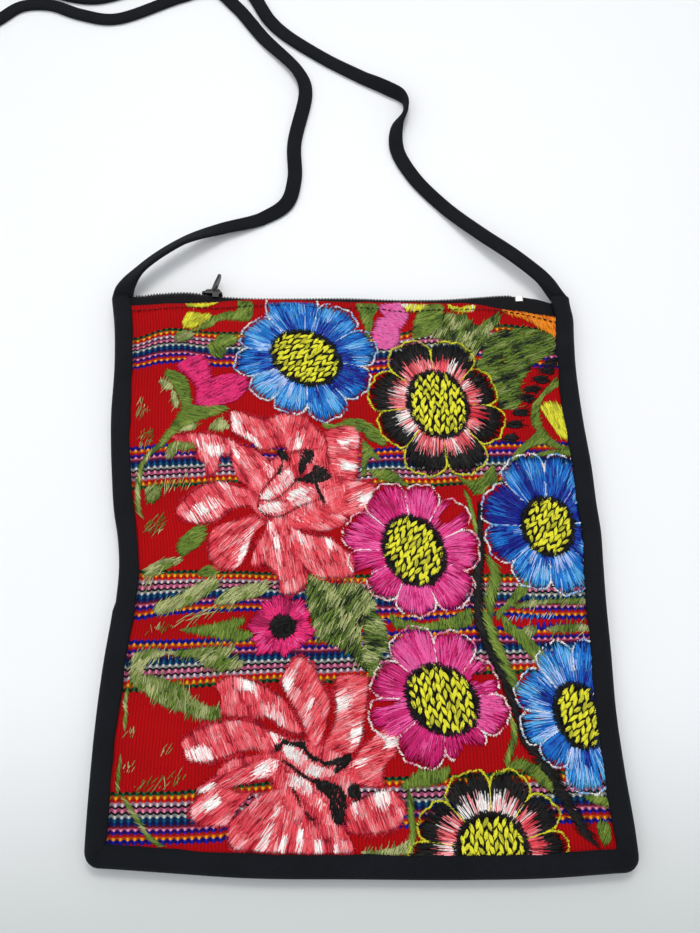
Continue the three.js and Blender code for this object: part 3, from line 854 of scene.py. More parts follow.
@dataclass
class BagOutline:
    """The bag's edges, as in the solids. Up is counted from the lowest point of the bottom edge."""

    bottom_y: float = -121.2
    edge_z: float = 4.6
    corner: float = 8.5
    left_end: float = 230.0
    right_end: float = 227.0
    tuck: float = 2.6
    top_hem: float = 0.25
    side_up: Numbers = (0, 15, 35, 56, 78, 100, 112, 124, 136, 149, 175, 202, 216, 231)
    left_x: Numbers = (
        -91.5, -91.7, -91.6, -90.7, -89.0, -86.9, -86.6, -87.8, -90.2, -91.8, -94.0, -94.3, -95.3, -97.5,
    )
    right_x: Numbers = (97.6, 97.2, 95.8, 94.9, 95.3, 95.5, 95.9, 96.3, 95.7, 95.4, 93.7, 93.2, 94.0, 94.9)
    bottom_x: Numbers = (-85, -66, -35, 0, 40, 67, 90)
    bottom_up: Numbers = (5.4, 3.9, 1.6, 0.8, 0.1, 0.3, 1.6)
    top_x: Numbers = (-92, -82, -70, -55.5, -42, -19, 0, 22, 41, 54, 66, 76, 88)
    top_up: Numbers = (
        225.6, 225.4, 225.0, 226.4, 227.6, 226.9, 225.8, 225.3, 224.6, 224.0, 221.4, 219.8, 217.8,
    )

    def left(self, up: Array) -> Array:
        """X of the left edge."""
        return read_column(self.side_up, self.left_x, up)

    def right(self, up: Array) -> Array:
        """X of the right edge."""
        return read_column(self.side_up, self.right_x, up)

    def bottom(self, x: Array) -> Array:
        """Height of the bottom edge."""
        return read_column(self.bottom_x, self.bottom_up, x)

    def top(self, x: Array) -> Array:
        """Height of the cloth's top edge."""
        return read_column(self.top_x, self.top_up, x)

    def panel(self, across: Array, along: Array) -> Ends:
        """Points of a panel that is tucked into the binding and round at its lower corners.

        Args:
            across: shares from 0 at the left edge to 1 at the right.
            along: shares from 0 at the bottom to 1 at the top.

        Returns:
            X and Y.
        """
        rough_up = along * self.left_end
        rough_x = self.left(rough_up) + across * (self.right(rough_up) - self.left(rough_up))
        low = self.bottom(rough_x) + self.tuck
        up = low + along * (self.top(rough_x) - low)
        radius = self.corner - self.tuck
        short = np.clip(radius - (up - low), 0.0, radius)
        inset = self.tuck + radius - np.sqrt(radius**2 - short**2)
        left, right = self.left(up) + inset, self.right(up) - inset
        return left + across * (right - left), self.bottom_y + up

    def seen(self, points: Array, lip: float) -> Array:
        """Whether points of the cloth lie clear of the binding's lips and the top edge.

        Args:
            points: X and Y in the last axis.
            lip: how far the lips reach in from the edge.

        Returns:
            True or false for each point.
        """
        x, up = points[..., 0], points[..., 1] - self.bottom_y
        sides = (x > self.left(up) + lip) & (x < self.right(up) - lip)
        return sides & (up > self.bottom(x) + lip) & (up < self.top(x) - self.top_hem)


class Side(Enum):
    """Which side of a solid is read, as the way that a cast looks."""

    UPPER = -1.0
    UNDER = 1.0


class HeightField:
    """Height of one side of a cloth solid over its plan, read from the frame and eased over its facets."""

    STEP = 2.0
    EASING = 4

    def __init__(self, node: str, side: Side) -> None:
        """Casts upright lines at the solid on a lattice and fills the lattice past its edges.

        Args:
            node: the solid's name.
            side: the side to read.
        """
        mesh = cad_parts[node].data
        tree = BVHTree.FromPolygons([v.co for v in mesh.vertices], [list(p.vertices) for p in mesh.polygons])
        low, high = (np.array(corner[:2]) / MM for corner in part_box(node))
        columns, rows = np.ceil((high - low) / self.STEP).astype(int) + 1
        look = Vector((0.0, 0.0, side.value))

        def cast(i: int, j: int) -> float:
            """Height where an upright line meets the solid.

            Args:
                i, j: the line's column and row.

            Returns:
                The height, or not-a-number past the solid's edge.
            """
            x, y = (low + self.STEP * np.array([i, j])) * MM
            hit = tree.ray_cast(Vector((x, y, -side.value)), look)[0]
            return math.nan if hit is None else hit.z / MM

        self.origin = low
        self.heights = self.eased(np.array([[cast(i, j) for i in range(columns)] for j in range(rows)]))

    def eased(self, heights: Array) -> Array:
        """The lattice with its gaps filled, averaged with its neighbours so that facets don't show.

        Args:
            heights: the lattice, not-a-number where it has gaps.

        Returns:
            The lattice, gaps filled along their row and empty rows from the nearest one.
        """
        places, known = np.arange(heights.shape[1]), np.isfinite(heights)
        full = np.nonzero(known.sum(axis=1) > 1)[0]
        rows = [np.interp(places, places[known[j]], heights[j, known[j]]) for j in full]
        heights = np.array(rows)[np.clip(np.arange(len(heights)), full[0], full[-1]) - full[0]]
        for _ in range(2 * self.EASING):
            wide = np.pad(heights, ((1, 1), (0, 0)), mode="edge")
            heights = (0.25 * wide[:-2] + 0.5 * wide[1:-1] + 0.25 * wide[2:]).T
        return heights

    def at(self, x: Array, y: Array) -> Array:
        """Height at places, bilinear between the lattice's points.

        Args:
            x, y: the places.

        Returns:
            The heights.
        """
        rows, columns = self.heights.shape
        i = np.clip((x - self.origin[0]) / self.STEP, 0.0, columns - 1.001)
        j = np.clip((y - self.origin[1]) / self.STEP, 0.0, rows - 1.001)
        i0, j0 = i.astype(int), j.astype(int)
        fi, fj = i - i0, j - j0
        low, high = (
            self.heights[row, i0] * (1 - fi) + self.heights[row, i0 + 1] * fi for row in (j0, j0 + 1)
        )
        return low * (1 - fj) + high * fj


@dataclass
class FrontCloth:
    """The woven front: ribs, bands of zigzag rows that wander with the cloth, and small puckers.

    The bands' edges are charted from the top, with their places: 0 at a green edge and 1 at a blue one.
    """

    outline: BagOutline
    camera: PhotoCamera
    finish: WovenFinish = WovenFinish("woven_stripes")
    ribs: int = 150
    samples_per_rib: int = 3
    rows: int = 84
    wall: float = 1.3
    rib_height: float = 0.09
    pucker: float = 0.16
    usual_level: float = 9.0
    edge_places: Numbers = (0, 1, 1, 0, 0, 1, 1, 0, 0, 1)
    band_edges: tuple[Pixels, ...] = (
        paired(136, 338, 156, 331, 170, 328, 200, 331, 237, 332, 370, 336, 405, 332, 422, 327, 505, 324,
            558, 330),
        paired(136, 369, 156, 364, 170, 363, 185, 362, 217, 367, 237, 367, 370, 373, 478, 364, 558, 368),
        paired(133, 447, 160, 444, 230, 444, 350, 452, 385, 448, 430, 446, 505, 441, 571, 442),
        paired(133, 490, 160, 488, 196, 486, 230, 483, 350, 489, 385, 485, 430, 487, 475, 484, 571, 485),
        paired(141, 570, 197, 570, 262, 572, 385, 575, 505, 574, 590, 571),
        paired(141, 620, 159, 616, 190, 613, 255, 611, 385, 622, 505, 615, 540, 619, 590, 619),
        paired(135, 640, 197, 639, 250, 638, 320, 636, 435, 629, 468, 626, 510, 627, 590, 625),
        paired(135, 692, 185, 689, 250, 684, 280, 682, 320, 684, 357, 682, 435, 676, 510, 674, 590, 671),
        paired(115, 792, 180, 791, 245, 783, 330, 778, 420, 776, 590, 769),
        paired(115, 845, 180, 844, 220, 842, 290, 826, 365, 826, 405, 828, 590, 823),
    )

    def __post_init__(self) -> None:
        """Reads the cloth's height from its solid."""
        self.field = HeightField("front_panel", Side.UPPER)

    def height(self, x: Array, y: Array) -> Array:
        """Height of the cloth's face, with puckers by wandering values along slanting lines.

        Args:
            x, y: places on the cloth.

        Returns:
            The heights.
        """
        waves = wobble(x + 0.4 * y, 31.0, 3) * wobble(y - 0.3 * x, 27.0, 4) + 0.6 * wobble(x - y, 17.0, 5)
        folds = wobble(y + 2.0 * wobble(x, 40.0, 6), 15.0, 7) * (0.5 + 0.5 * wobble(x + y, 60.0, 8))
        return self.field.at(x, y) + self.pucker * (waves + folds)

    def on_cloth(self, pixels: Pixels) -> Array:
        """Where pixels of the photograph's frame meet the cloth, found in a few rounds.

        Args:
            pixels: the pixels.

        Returns:
            X and Y for each pixel.
        """
        spots = np.asarray(pixels, float)
        level = np.full(len(spots), self.usual_level)
        for _ in range(3):
            places = self.camera.on_level(spots, level)
            level = self.height(*places.T)
        return places

    def band_place(self, x: Array, y: Array) -> Array:
        """Place in a woven band: 0 at its green edge and 1 at its blue edge, past those on the ground.

        Past an edge the place runs on evenly for half a band, or half-way to the next one, and then stays.

        Args:
            x, y: places on the cloth.

        Returns:
            The place in the nearest band.
        """
        lines = [np.interp(x, *self.on_cloth(edge).T) for edge in self.band_edges]
        margin = 0.5 * BAND_HEIGHT
        steps = [(lines[0] + margin, np.full_like(x, -0.5))]
        for k, (line, mark) in enumerate(zip(lines, self.edge_places)):
            steps.append((line, np.full_like(x, mark)))
            if k % 2 == 1:
                after = lines[k + 1] if k + 1 < len(lines) else line - 4.0 * margin
                reach = np.minimum(margin, 0.49 * (line - after))
                past = mark + (1.0 if mark else -1.0) * reach / BAND_HEIGHT
                steps += [(line - reach, past), (after + reach, past)]
        place = steps[0][1]
        for (line, mark), (after, next_mark) in zip(steps, steps[1:]):
            place = place + (next_mark - mark) * np.clip((line - y) / (line - after), 0.0, 1.0)
        return place

    def build(self) -> None:
        """Makes the cloth as a grid over the panel, with a few points on each rib.

        Its height is the solid's upper side with a cosine rib along X, and a wall hangs under it.
        """
        columns = self.ribs * self.samples_per_rib + 1
        across, along = grid_shares(columns, self.rows)
        x, y = self.outline.panel(across, along)
        rib = across * self.ribs
        z = self.height(x, y) + self.rib_height * np.cos(FULL_TURN * rib)
        weave = np.stack([rib, self.band_place(x, y)], axis=1)
        surface = Surface(np.stack([x, y, z], axis=1), grid_faces(self.rows, columns), weave)
        piece = write_piece("front_cloth", surface, self.finish.material(), Slot.FRONT, "front_panel")
        add_wall(piece, self.wall, -1.0)


@dataclass
class BackCloth:
    """The plain back that the bag lies on."""

    outline: BagOutline
    finish: PlainClothFinish = PlainClothFinish("plain_back_cloth")
    columns: int = 97
    rows: int = 113
    wall: float = 1.15
    rest: float = 0.02

    def build(self) -> None:
        """Makes the back as a grid at the height of its solid's under side, with a wall above it."""
        x, y = self.outline.panel(*grid_shares(self.columns, self.rows))
        z = np.maximum(HeightField("back_panel", Side.UNDER).at(x, y), self.rest)
        faces = [face[::-1] for face in grid_faces(self.rows, self.columns)]
        surface = Surface(np.stack([x, y, z], axis=1), faces)
        piece = write_piece("back_cloth", surface, self.finish.material(), Slot.BACK, "back_panel")
        add_wall(piece, self.wall, -1.0)


@dataclass
class Binding:
    """Twill tape folded over the left, bottom and right edges, with soft puckers.

    The fold's outer side is listed from its lip to the fold: how far in it is, and its share of the height.
    """

    outline: BagOutline
    finish: TwillFinish
    wall: float = 1.0
    corner: float = 5.5
    rest: float = 0.02
    lip: float = 7.8
    channel: float = 1.75
    channel_at_zip: float = 3.2
    widens: Pair = (188.0, 206.0)
    step: float = 1.6
    join_up: float = 97.0
    join_step: float = 0.7
    join_soft: float = 0.8
    join_fades: Pair = (20.0, 70.0)
    shoulder: float = 1.5
    shoulder_reach: float = 11.0
    outer_in: Numbers = (7.8, 7.72, 7.35, 6.4, 5.0, 3.4, 2.2, 1.3, 0.6, 0.16, 0.0)
    outer_out: Numbers = (0.62, 0.86, 1.0, 1.05, 1.07, 1.05, 1.0, 0.9, 0.7, 0.4, 0.0)

    def path(self) -> Array:
        """The outer edge from the zip's left end down, along the bottom and up on the right.

        Returns:
            Evenly spaced points, as X and up.
        """
        edge, radius = self.outline, self.corner
        left, right = edge.left(radius) + radius, edge.right(radius) - radius
        left_turn, right_turn = edge.bottom(left) + radius, edge.bottom(right) + radius
        fall = np.linspace(edge.left_end, left_turn, 120)
        rise = np.linspace(right_turn, edge.right_end, 120)
        along = np.linspace(left, right, 100)
        eased = self.shoulder * (1.0 - smoothstep(edge.right_end - rise, 0.0, self.shoulder_reach))
        turn = np.linspace(0.0, 0.5 * np.pi, 12)[1:-1]
        legs = (
            (edge.left(fall), fall),
            (left - radius * np.cos(turn), left_turn - radius * np.sin(turn)),
            (along, edge.bottom(along)),
            (right + radius * np.sin(turn), right_turn - radius * np.cos(turn)),
            (edge.right(rise) - eased, rise),
        )
        rough = np.concatenate([np.stack(leg, axis=1) for leg in legs])
        length = path_length(rough)[-1]
        return spaced(rough, np.linspace(0.0, length, int(length / self.step)))

    def section(self) -> tuple[Array, Array, Array]:
        """The fold's section as one closed ring: over the top lip, round the fold, and back inside.

        Returns:
            The distance in from the edge, the share of the outer height, and the share of the inner one.
        """
        inward, outward = np.array(self.outer_in), np.array(self.outer_out)
        inner_in = np.array([self.wall, self.wall + 0.25, self.wall + 1.0, 4.5, self.lip - 0.25])
        inner_high = np.array([0.0, 0.7, 1.0, 1.0, 1.0])
        ring_in = np.concatenate([inward, inward[-2::-1], inner_in[::-1], inner_in[1:]])
        outer = np.concatenate([outward, -outward[-2::-1], np.zeros(2 * len(inner_in) - 1)])
        inner = np.concatenate([np.zeros(2 * len(inward) - 1), -inner_high[::-1], inner_high[1:]])
        return ring_in, outer, inner

    def mitred(self, place: Array, reach: Array) -> Array:
        """Points near the lower corners held off both edges by their reach, which leaves a mitre in the lips.

        Args:
            place: the points as X and up.
            reach: how far in from the edge each point belongs.

        Returns:
            The points.
        """
        x, up = place[..., 0], place[..., 1]
        near = (up < 3.0 * self.lip) & (reach > self.corner)
        held_x = np.clip(x, self.outline.left(up) + reach, self.outline.right(up) - reach)
        held_up = np.maximum(up, self.outline.bottom(held_x) + reach)
        return np.stack([np.where(near, held_x, x), np.where(near, held_up, up)], axis=-1)

    def build(self) -> None:
        """Carries the section along the path, its lips wandering a little and its crown softly uneven.

        On the left the tape's end laps over itself, which steps the fold outwards and fades along the tape.
        """
        path = self.path()
        gone = path_length(path)
        inward = left_of(unit(np.gradient(path, axis=0)))
        inward[0], inward[-1] = (1.0, 0.0), (-1.0, 0.0)
        ring_in, outer, inner = self.section()
        half = self.channel + (self.channel_at_zip - self.channel) * smoothstep(path[:, 1], *self.widens)
        swell = 1.0 + 0.035 * wobble(gone, 46.0, 11) + 0.02 * wobble(gone, 17.0, 12)
        join_at = gone[np.argmin(np.abs(path[: len(path) // 2, 1] - self.join_up))]
        stepped = self.join_step * smoothstep(gone, join_at - self.join_soft, join_at + self.join_soft)
        stepped *= 1.0 - smoothstep(gone, *(join_at + fade for fade in self.join_fades))
        wander = np.outer(1.0 + 0.03 * wobble(gone, 38.0, 13), ring_in)
        reach = np.where(ring_in > 0.5 * self.lip, wander, ring_in)
        reach = reach - np.outer(stepped, 1.0 - ring_in / self.lip)
        place = path[:, None, :] + inward[:, None, :] * reach[..., None]
        place = self.mitred(place, np.maximum(reach, 0.0))
        rise = np.outer((half + self.wall) * swell, outer) + np.outer(half, inner)
        z = np.maximum(rise + self.outline.edge_z, self.rest)
        points = np.stack([place[..., 0], place[..., 1] + self.outline.bottom_y, z], axis=-1)
        ring = path_length(np.stack([ring_in, (outer + inner) * self.channel], axis=1))
        uv = np.stack(np.meshgrid(gone, ring, indexing="ij"), axis=-1)
        faces = swept_faces(len(path), len(ring_in))
        surface = Surface(points.reshape(-1, 3), faces, uv.reshape(-1, 2))
        write_piece("folded_binding", surface, self.finish.material(), Slot.TAPE, "binding")


# The strap


@dataclass
class Strap:
    """A flat folded tape from one end of the binding to the other.

    Its route lists X, Y, how far its lower side is held off the surface, and its twist, where 90 degrees
    is on edge. The rows are those of the solid. Its roots' sizes are given for the left and the right.
    """

    finish: TwillFinish
    width: float = 6.4
    thick: float = 2.0
    root_widths: Pair = (8.2, 6.4)
    root_shifts: Pair = (0.0, 1.3)
    root_thick: float = 6.0
    root_length: float = 15.0
    rest: float = 0.05
    length: float = 1150.0
    steps_per_row: int = 12
    sides: int = 20
    squareness: Pair = (0.55, 0.6)
    route: tuple[tuple[float, float, float, float], ...] = (
        (-93.2, 109.5, 3.6, 0), (-91.6, 114.6, 4.6, -18), (-84.5, 123.2, 5.8, -36), (-69, 135.8, 5.2, -36),
        (-53.5, 144.8, 2, -12), (-36, 151.6, 0, 0), (-25.4, 158.8, 0, 15), (-21.8, 172, 0, 10),
        (-22, 192, 0, 0), (-17, 222, 0, 15), (-20.5, 233, 0, 20), (-36.8, 254, 0, 0), (-50, 273.4, 0, 0),
        (-61.5, 284.6, 0, 0), (-77, 280.4, 0, 0), (-108, 267.2, 0, 0), (-124.7, 270.5, 0, 0),
        (-139.6, 276.6, 0, 0), (-153, 276, 0, 0), (-164, 267.2, 0, 0), (-177, 257.8, 0, 0),
        (-192.5, 265, 0, 0), (-197, 296, 0, 0), (-180, 328, 0, 0), (-146, 341, 0, 0), (-32, 341, 0, 0),
        (-20, 336.5, 0, 0), (-15.5, 326, 0, 0), (-20, 315.5, 0, 0), (-32, 311, 0, 0), (-144, 313.5, 0, 0),
        (-155.5, 309.5, 0, 0), (-160, 300, 0, 0), (-155, 290.5, 0, 0), (-143, 286.5, 0, 0),
        (-118, 280.2, 0, 0), (-78, 295, 0, 0), (-59, 295.4, 0, 0), (-44.5, 284, 0, 0), (-34.4, 265.4, 0, 0),
        (-26.6, 256, 0, 0), (-7.1, 240.2, 0, 0), (9.5, 229, 0, 8), (21, 221.4, 0, 35), (28.2, 214.8, 0, 82),
        (28.4, 208.2, 0, 80), (24.4, 199.8, 0, 35), (24, 188, 0, 5), (31, 172.6, 0, 0), (44, 156, 0.3, 0),
        (58, 140.6, 3.2, 0), (72, 127, 5.4, 0), (84.2, 114.8, 5, 0), (90.6, 106.5, 3.6, 0),
    )

    def line(self) -> Ends:
        """The centre line through the route by centripetal Catmull-Rom pieces, and its twist.

        Returns:
            The line's points and its twist in radians.
        """
        rows = np.array(self.route, float)
        knots = np.concatenate([[2 * rows[0] - rows[1]], rows, [2 * rows[-1] - rows[-2]]])[:, :3]
        leap = np.diff(knots, axis=0)
        pace = np.sqrt(np.linalg.norm(leap, axis=1))[:, None]
        rate, wide = leap / pace, (knots[2:] - knots[:-2]) / (pace[:-1] + pace[1:])
        first = ((rate[:-2] - wide[:-1] + rate[1:-1]) * pace[1:-1])[:, None, :]
        last = ((rate[1:-1] - wide[1:] + rate[2:]) * pace[1:-1])[:, None, :]
        share = np.linspace(0.0, 1.0, self.steps_per_row, endpoint=False)[None, :, None]
        here, after = knots[1:-2, None, :], knots[2:-1, None, :]
        cubic = (3 * (after - here) - 2 * first - last) + (2 * (here - after) + first + last) * share
        curve = (here + share * (first + share * cubic)).reshape(-1, 3)
        curve = np.concatenate([curve, knots[-2:-1]])
        at = np.linspace(0.0, len(rows) - 1.0, len(curve))
        twist = np.radians(np.interp(at, np.arange(len(rows)), rows[:, 3]))
        tall = self.width * np.abs(np.sin(twist)) + self.thick * np.cos(twist)
        curve[:, 2] = self.rest + np.maximum(curve[:, 2], 0.0) + 0.5 * tall
        return curve, twist

    def build(self) -> None:
        """Carries a soft flat section along the line, level across it apart from its twist.

        The section is a flattened ring: a cosine across and a sine in height, both drawn out square. At its
        roots the strap widens and turns square to the zip.
        """
        curve, twist = self.line()
        gone = path_length(curve)
        early = gone < 0.5 * gone[-1]
        turned = 1.0 - smoothstep(np.minimum(gone, gone[-1] - gone), 0.0, self.root_length)
        travel = unit(np.gradient(curve, axis=0))
        square = np.outer(np.where(early, 1.0, -1.0), (0.0, 1.0, 0.0))
        travel = unit(travel + turned[:, None] * (square - travel))
        level = unit(np.cross((0.0, 0.0, 1.0), travel))
        across = level * np.cos(twist)[:, None] + np.cross(travel, level) * np.sin(twist)[:, None]
        tall = np.cross(travel, across)
        half_wide = 0.5 * (self.width + turned * (np.where(early, *self.root_widths) - self.width))
        half_thick = 0.5 * (self.thick + turned * (self.root_thick - self.thick))
        angle = np.linspace(0.0, FULL_TURN, self.sides, endpoint=False)
        ring_wide, ring_tall = (
            np.sign(wave) * np.abs(wave) ** power
            for wave, power in zip((np.cos(angle), np.sin(angle)), self.squareness)
        )
        middle = curve - level * (turned * np.where(early, *self.root_shifts))[:, None]
        points = (
            middle[:, None, :]
            + across[:, None, :] * np.outer(half_wide, ring_wide)[..., None]
            + tall[:, None, :] * np.outer(half_thick, ring_tall)[..., None]
        )
        around = path_length(np.stack([ring_wide * self.width, ring_tall * self.thick], axis=1) * 0.5)
        uv = np.stack(np.meshgrid(gone, around, indexing="ij"), axis=-1).reshape(-1, 2)
        surface = Surface(points.reshape(-1, 3), swept_faces(len(curve), self.sides), uv)
        piece = write_piece("twill_strap", surface, self.finish.material(), Slot.TAPE, "strap")
        [tuple(point) for point in curve * MM]


# The zip


@dataclass
class Zip:
    """The zip's coils, tapes, slider, pull and stop.

    The coils and tapes follow their solids. Short tables along X raise them to the photograph's edge: the
    front half at the left end, and both towards the stop, past which they fall to the binding.
    """

    outline: BagOutline
    pitch: float = 1.27
    wire: float = 0.33
    wire_sides: int = 6
    turn_steps: int = 10
    core: float = 0.72
    edge_soft: float = 0.16
    edge_angle: float = 35.0
    weld: float = 0.001
    tape_under: float = 8.5
    tape_wall: float = 0.7
    tape_columns: int = 121
    tape_rows: int = 9
    coil_clear: float = 1.6
    rise_x: Numbers = (-93, -87.5, -81.5, -75, -70, 22, 41, 54, 66, 72, 80, 85, 90)
    front_rise: Numbers = (4.2, 2.7, 1.9, 0.5, 0, 0, 0.5, 1.0, 1.0, 1.0, -0.4, -2.2, -3.0)
    back_rise: Numbers = (0.4, 0.3, 0.2, 0, 0, 0, 0.5, 1.0, 1.0, 1.0, -0.4, -2.2, -3.0)

    def middle(self, node: str) -> Ends:
        """The line along the middle of a coil's solid.

        Args:
            node: the solid.

        Returns:
            The line's points, and the solid's half depth and half height.
        """
        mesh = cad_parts[node].data
        corners = np.zeros(len(mesh.vertices) * 3)
        mesh.vertices.foreach_get("co", corners)
        corners = corners.reshape(-1, 3) / MM
        places, row = np.unique(np.round(corners[:, 0], 2), return_inverse=True)
        count = np.bincount(row)
        line = np.stack([places] + [np.bincount(row, corners[:, axis]) / count for axis in (1, 2)], axis=1)
        return line, np.abs(corners - line[row])[:, 1:].max(axis=0)

    def coil(self, node: str, name: str, rise: Numbers, material: Material) -> None:
        """A wire wound about a filler cord along the middle of a coil's solid, as far out as its section.

        The wire's line turns once in each pitch: a cosine across the zip and a sine in height.

        Args:
            node: the solid that it stands for.
            name: the piece's name.
            rise: how far it is raised, by the table along X.
            material: its finish.
        """
        line, half = self.middle(node)
        half = half - self.wire
        turns = int((line[-1, 0] - line[0, 0] - 2 * self.wire) / self.pitch)
        turn = np.linspace(0.0, turns, turns * self.turn_steps + 1)
        x = line[0, 0] + self.wire + turn * self.pitch
        y, z = (np.interp(x, line[:, 0], line[:, axis]) for axis in (1, 2))
        y = y + np.interp(x, self.rise_x, rise)
        angle = FULL_TURN * turn
        wound = np.stack([x, y + half[0] * np.cos(angle), z + half[1] * np.sin(angle)], axis=1)
        travel = unit(np.gradient(wound, axis=0))
        out = unit(np.cross(travel, (1.0, 0.0, 0.0)))
        wire = tube(wound, self.wire * out, self.wire * np.cross(travel, out), self.wire_sides)
        cord = np.stack([x, y, z], axis=1)[:: self.turn_steps]
        level = np.broadcast_to((0.0, self.core * half[0], 0.0), cord.shape)
        tall = np.broadcast_to((0.0, 0.0, self.core * half[1]), cord.shape)
        filler = tube(cord, level, tall, self.wire_sides, len(wire.points))
        surface = Surface(np.concatenate([wire.points, filler.points]), wire.faces + filler.faces)
        write_piece(name, surface, material, Slot.COIL, node)

    def tape(self, node: str, coil_node: str, name: str, rise: Numbers, material: Material) -> None:
        """A woven strip from under the cloth's top edge to the middle of its coil, as high as its solid.

        Args:
            node: the solid that it stands for.
            coil_node: the coil's solid.
            name: the piece's name.
            rise: how far its upper edge is raised, by the table along X.
            material: its finish.
        """
        line, _ = self.middle(coil_node)
        edge = self.outline
        across, along = grid_shares(self.tape_columns, self.tape_rows)
        top_up = line[0, 1] - edge.bottom_y - self.tape_under * (1.0 - along)
        left, right = edge.left(top_up) + edge.tuck, edge.right(top_up) - edge.tuck
        x = left + across * (right - left)
        zip_y = np.interp(x, line[:, 0], line[:, 1])
        low = edge.top(x) + edge.bottom_y - self.tape_under
        y = low + along * (zip_y + np.interp(x, self.rise_x, rise) - low)
        within = np.minimum(y, zip_y - self.coil_clear)
        upper, under = (HeightField(node, side).at(x, within) for side in Side)
        points = np.stack([x, y, 0.5 * (upper + under)], axis=1)
        surface = Surface(points, grid_faces(self.tape_rows, self.tape_columns))
        piece = write_piece(name, surface, material, Slot.ZIP_TAPE, node)
        add_wall(piece, self.tape_wall, 0.0)

    def dress(self, node: str, material: Material) -> None:
        """Gives a metal solid its finish and takes the sharpness off its edges.

        Args:
            node: the solid.
            material: its finish.
        """
        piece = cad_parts[node]
        piece.data.materials.clear()
        piece.data.materials.append(material)
        piece.modifiers.new("joined", "WELD").merge_threshold = self.weld * MM
        bevel = piece.modifiers.new("soft_edges", "BEVEL")
        bevel.width, bevel.segments, bevel.limit_method = self.edge_soft * MM, 2, "ANGLE"
        bevel.angle_limit = math.radians(self.edge_angle)
        LOG.info("%s: dressed as packed", node)

    def build(self) -> None:
        """Makes the coils and tapes and dresses the metal."""
        nylon = CoilFinish("black_nylon").material()
        # The zip tape's painted shade in the weave's hollows, and the colour of its crowns.
        dark, pale = linear(10, 10, 13), linear(30, 30, 34)
        woven = PlainClothFinish("zip_tape_weave", dark, pale, 0.4, 0.1).material()
        for half, rise in (("front", self.front_rise), ("back", self.back_rise)):
            self.coil(f"zip_coil_{half}", f"coil_turns_{half}", rise, nylon)
            self.tape(f"zip_tape_{half}", f"zip_coil_{half}", f"woven_tape_{half}", rise, woven)
        enamel = EnamelFinish("black_enamel").material()
        self.dress("zip_slider", enamel)
        self.dress("zip_pull", enamel)
        self.dress("zip_stop", PaleMetalFinish("pale_stop").material())


# Embroidery


class Thread(Enum):
    """Floss colours, from 0 to 255 as the eye sees them."""

    BLUE = (20, 126, 210)
    COBALT = (16, 94, 190)
    SKY = (100, 182, 232)
    NAVY = (16, 28, 138)
    LAVENDER = (184, 204, 242)
    YELLOW = (230, 226, 54)
    STRAW = (184, 182, 46)
    SALMON = (234, 80, 92)
    ROSE = (210, 38, 58)
    CORAL = (240, 124, 130)
    BLUSH = (248, 184, 186)
    WHITE = (250, 245, 240)
    CRIMSON = (156, 18, 40)
    MAGENTA = (214, 36, 122)
    PINK = (238, 98, 168)
    WINE = (170, 16, 80)
    HOT = (234, 46, 122)
    BUD = (232, 110, 176)
    ORANGE = (242, 146, 22)
    AMBER = (208, 88, 10)
    GREEN = (110, 136, 46)
    LEAF = (146, 164, 70)
    MOSS = (74, 98, 32)
    OLIVE = (38, 50, 24)
    SAGE = (142, 152, 92)
    PALE = (188, 192, 130)
    BLACK = (9, 9, 8)
    SOOT = (27, 26, 24)

    def linear(self) -> Colour:
        """The colour in the renderer's linear numbers."""
        return linear(*self.value)


Floss = tuple[Thread, ...]


def pick_colours(floss: Floss, places: Array, rng: Chance, bias: Array | float = 0.0) -> Array:
    """Colours for stitches, drawn from a floss that is listed from dark to light.

    Neighbours tend to the same thread, by a wandering value over the cloth with some chance added.

    Args:
        floss: the threads to draw from.
        places: the stitches' middles.
        rng: the motif's seeded chance.
        bias: how far the draw leans to the light end.

    Returns:
        One linear colour for each stitch.
    """
    shades = np.array([thread.linear() for thread in floss])
    x, y = places.T
    drift = wobble(x + 0.6 * y, 12.0, 31) + wobble(y - 0.5 * x, 10.0, 32)
    share = 0.5 + bias + 0.22 * drift + rng.normal(0.0, 0.13, len(places))
    picked = shades[np.clip((share * len(floss)).astype(int), 0, len(floss) - 1)]
    return picked * rng.uniform(0.88, 1.08, (len(places), 1))


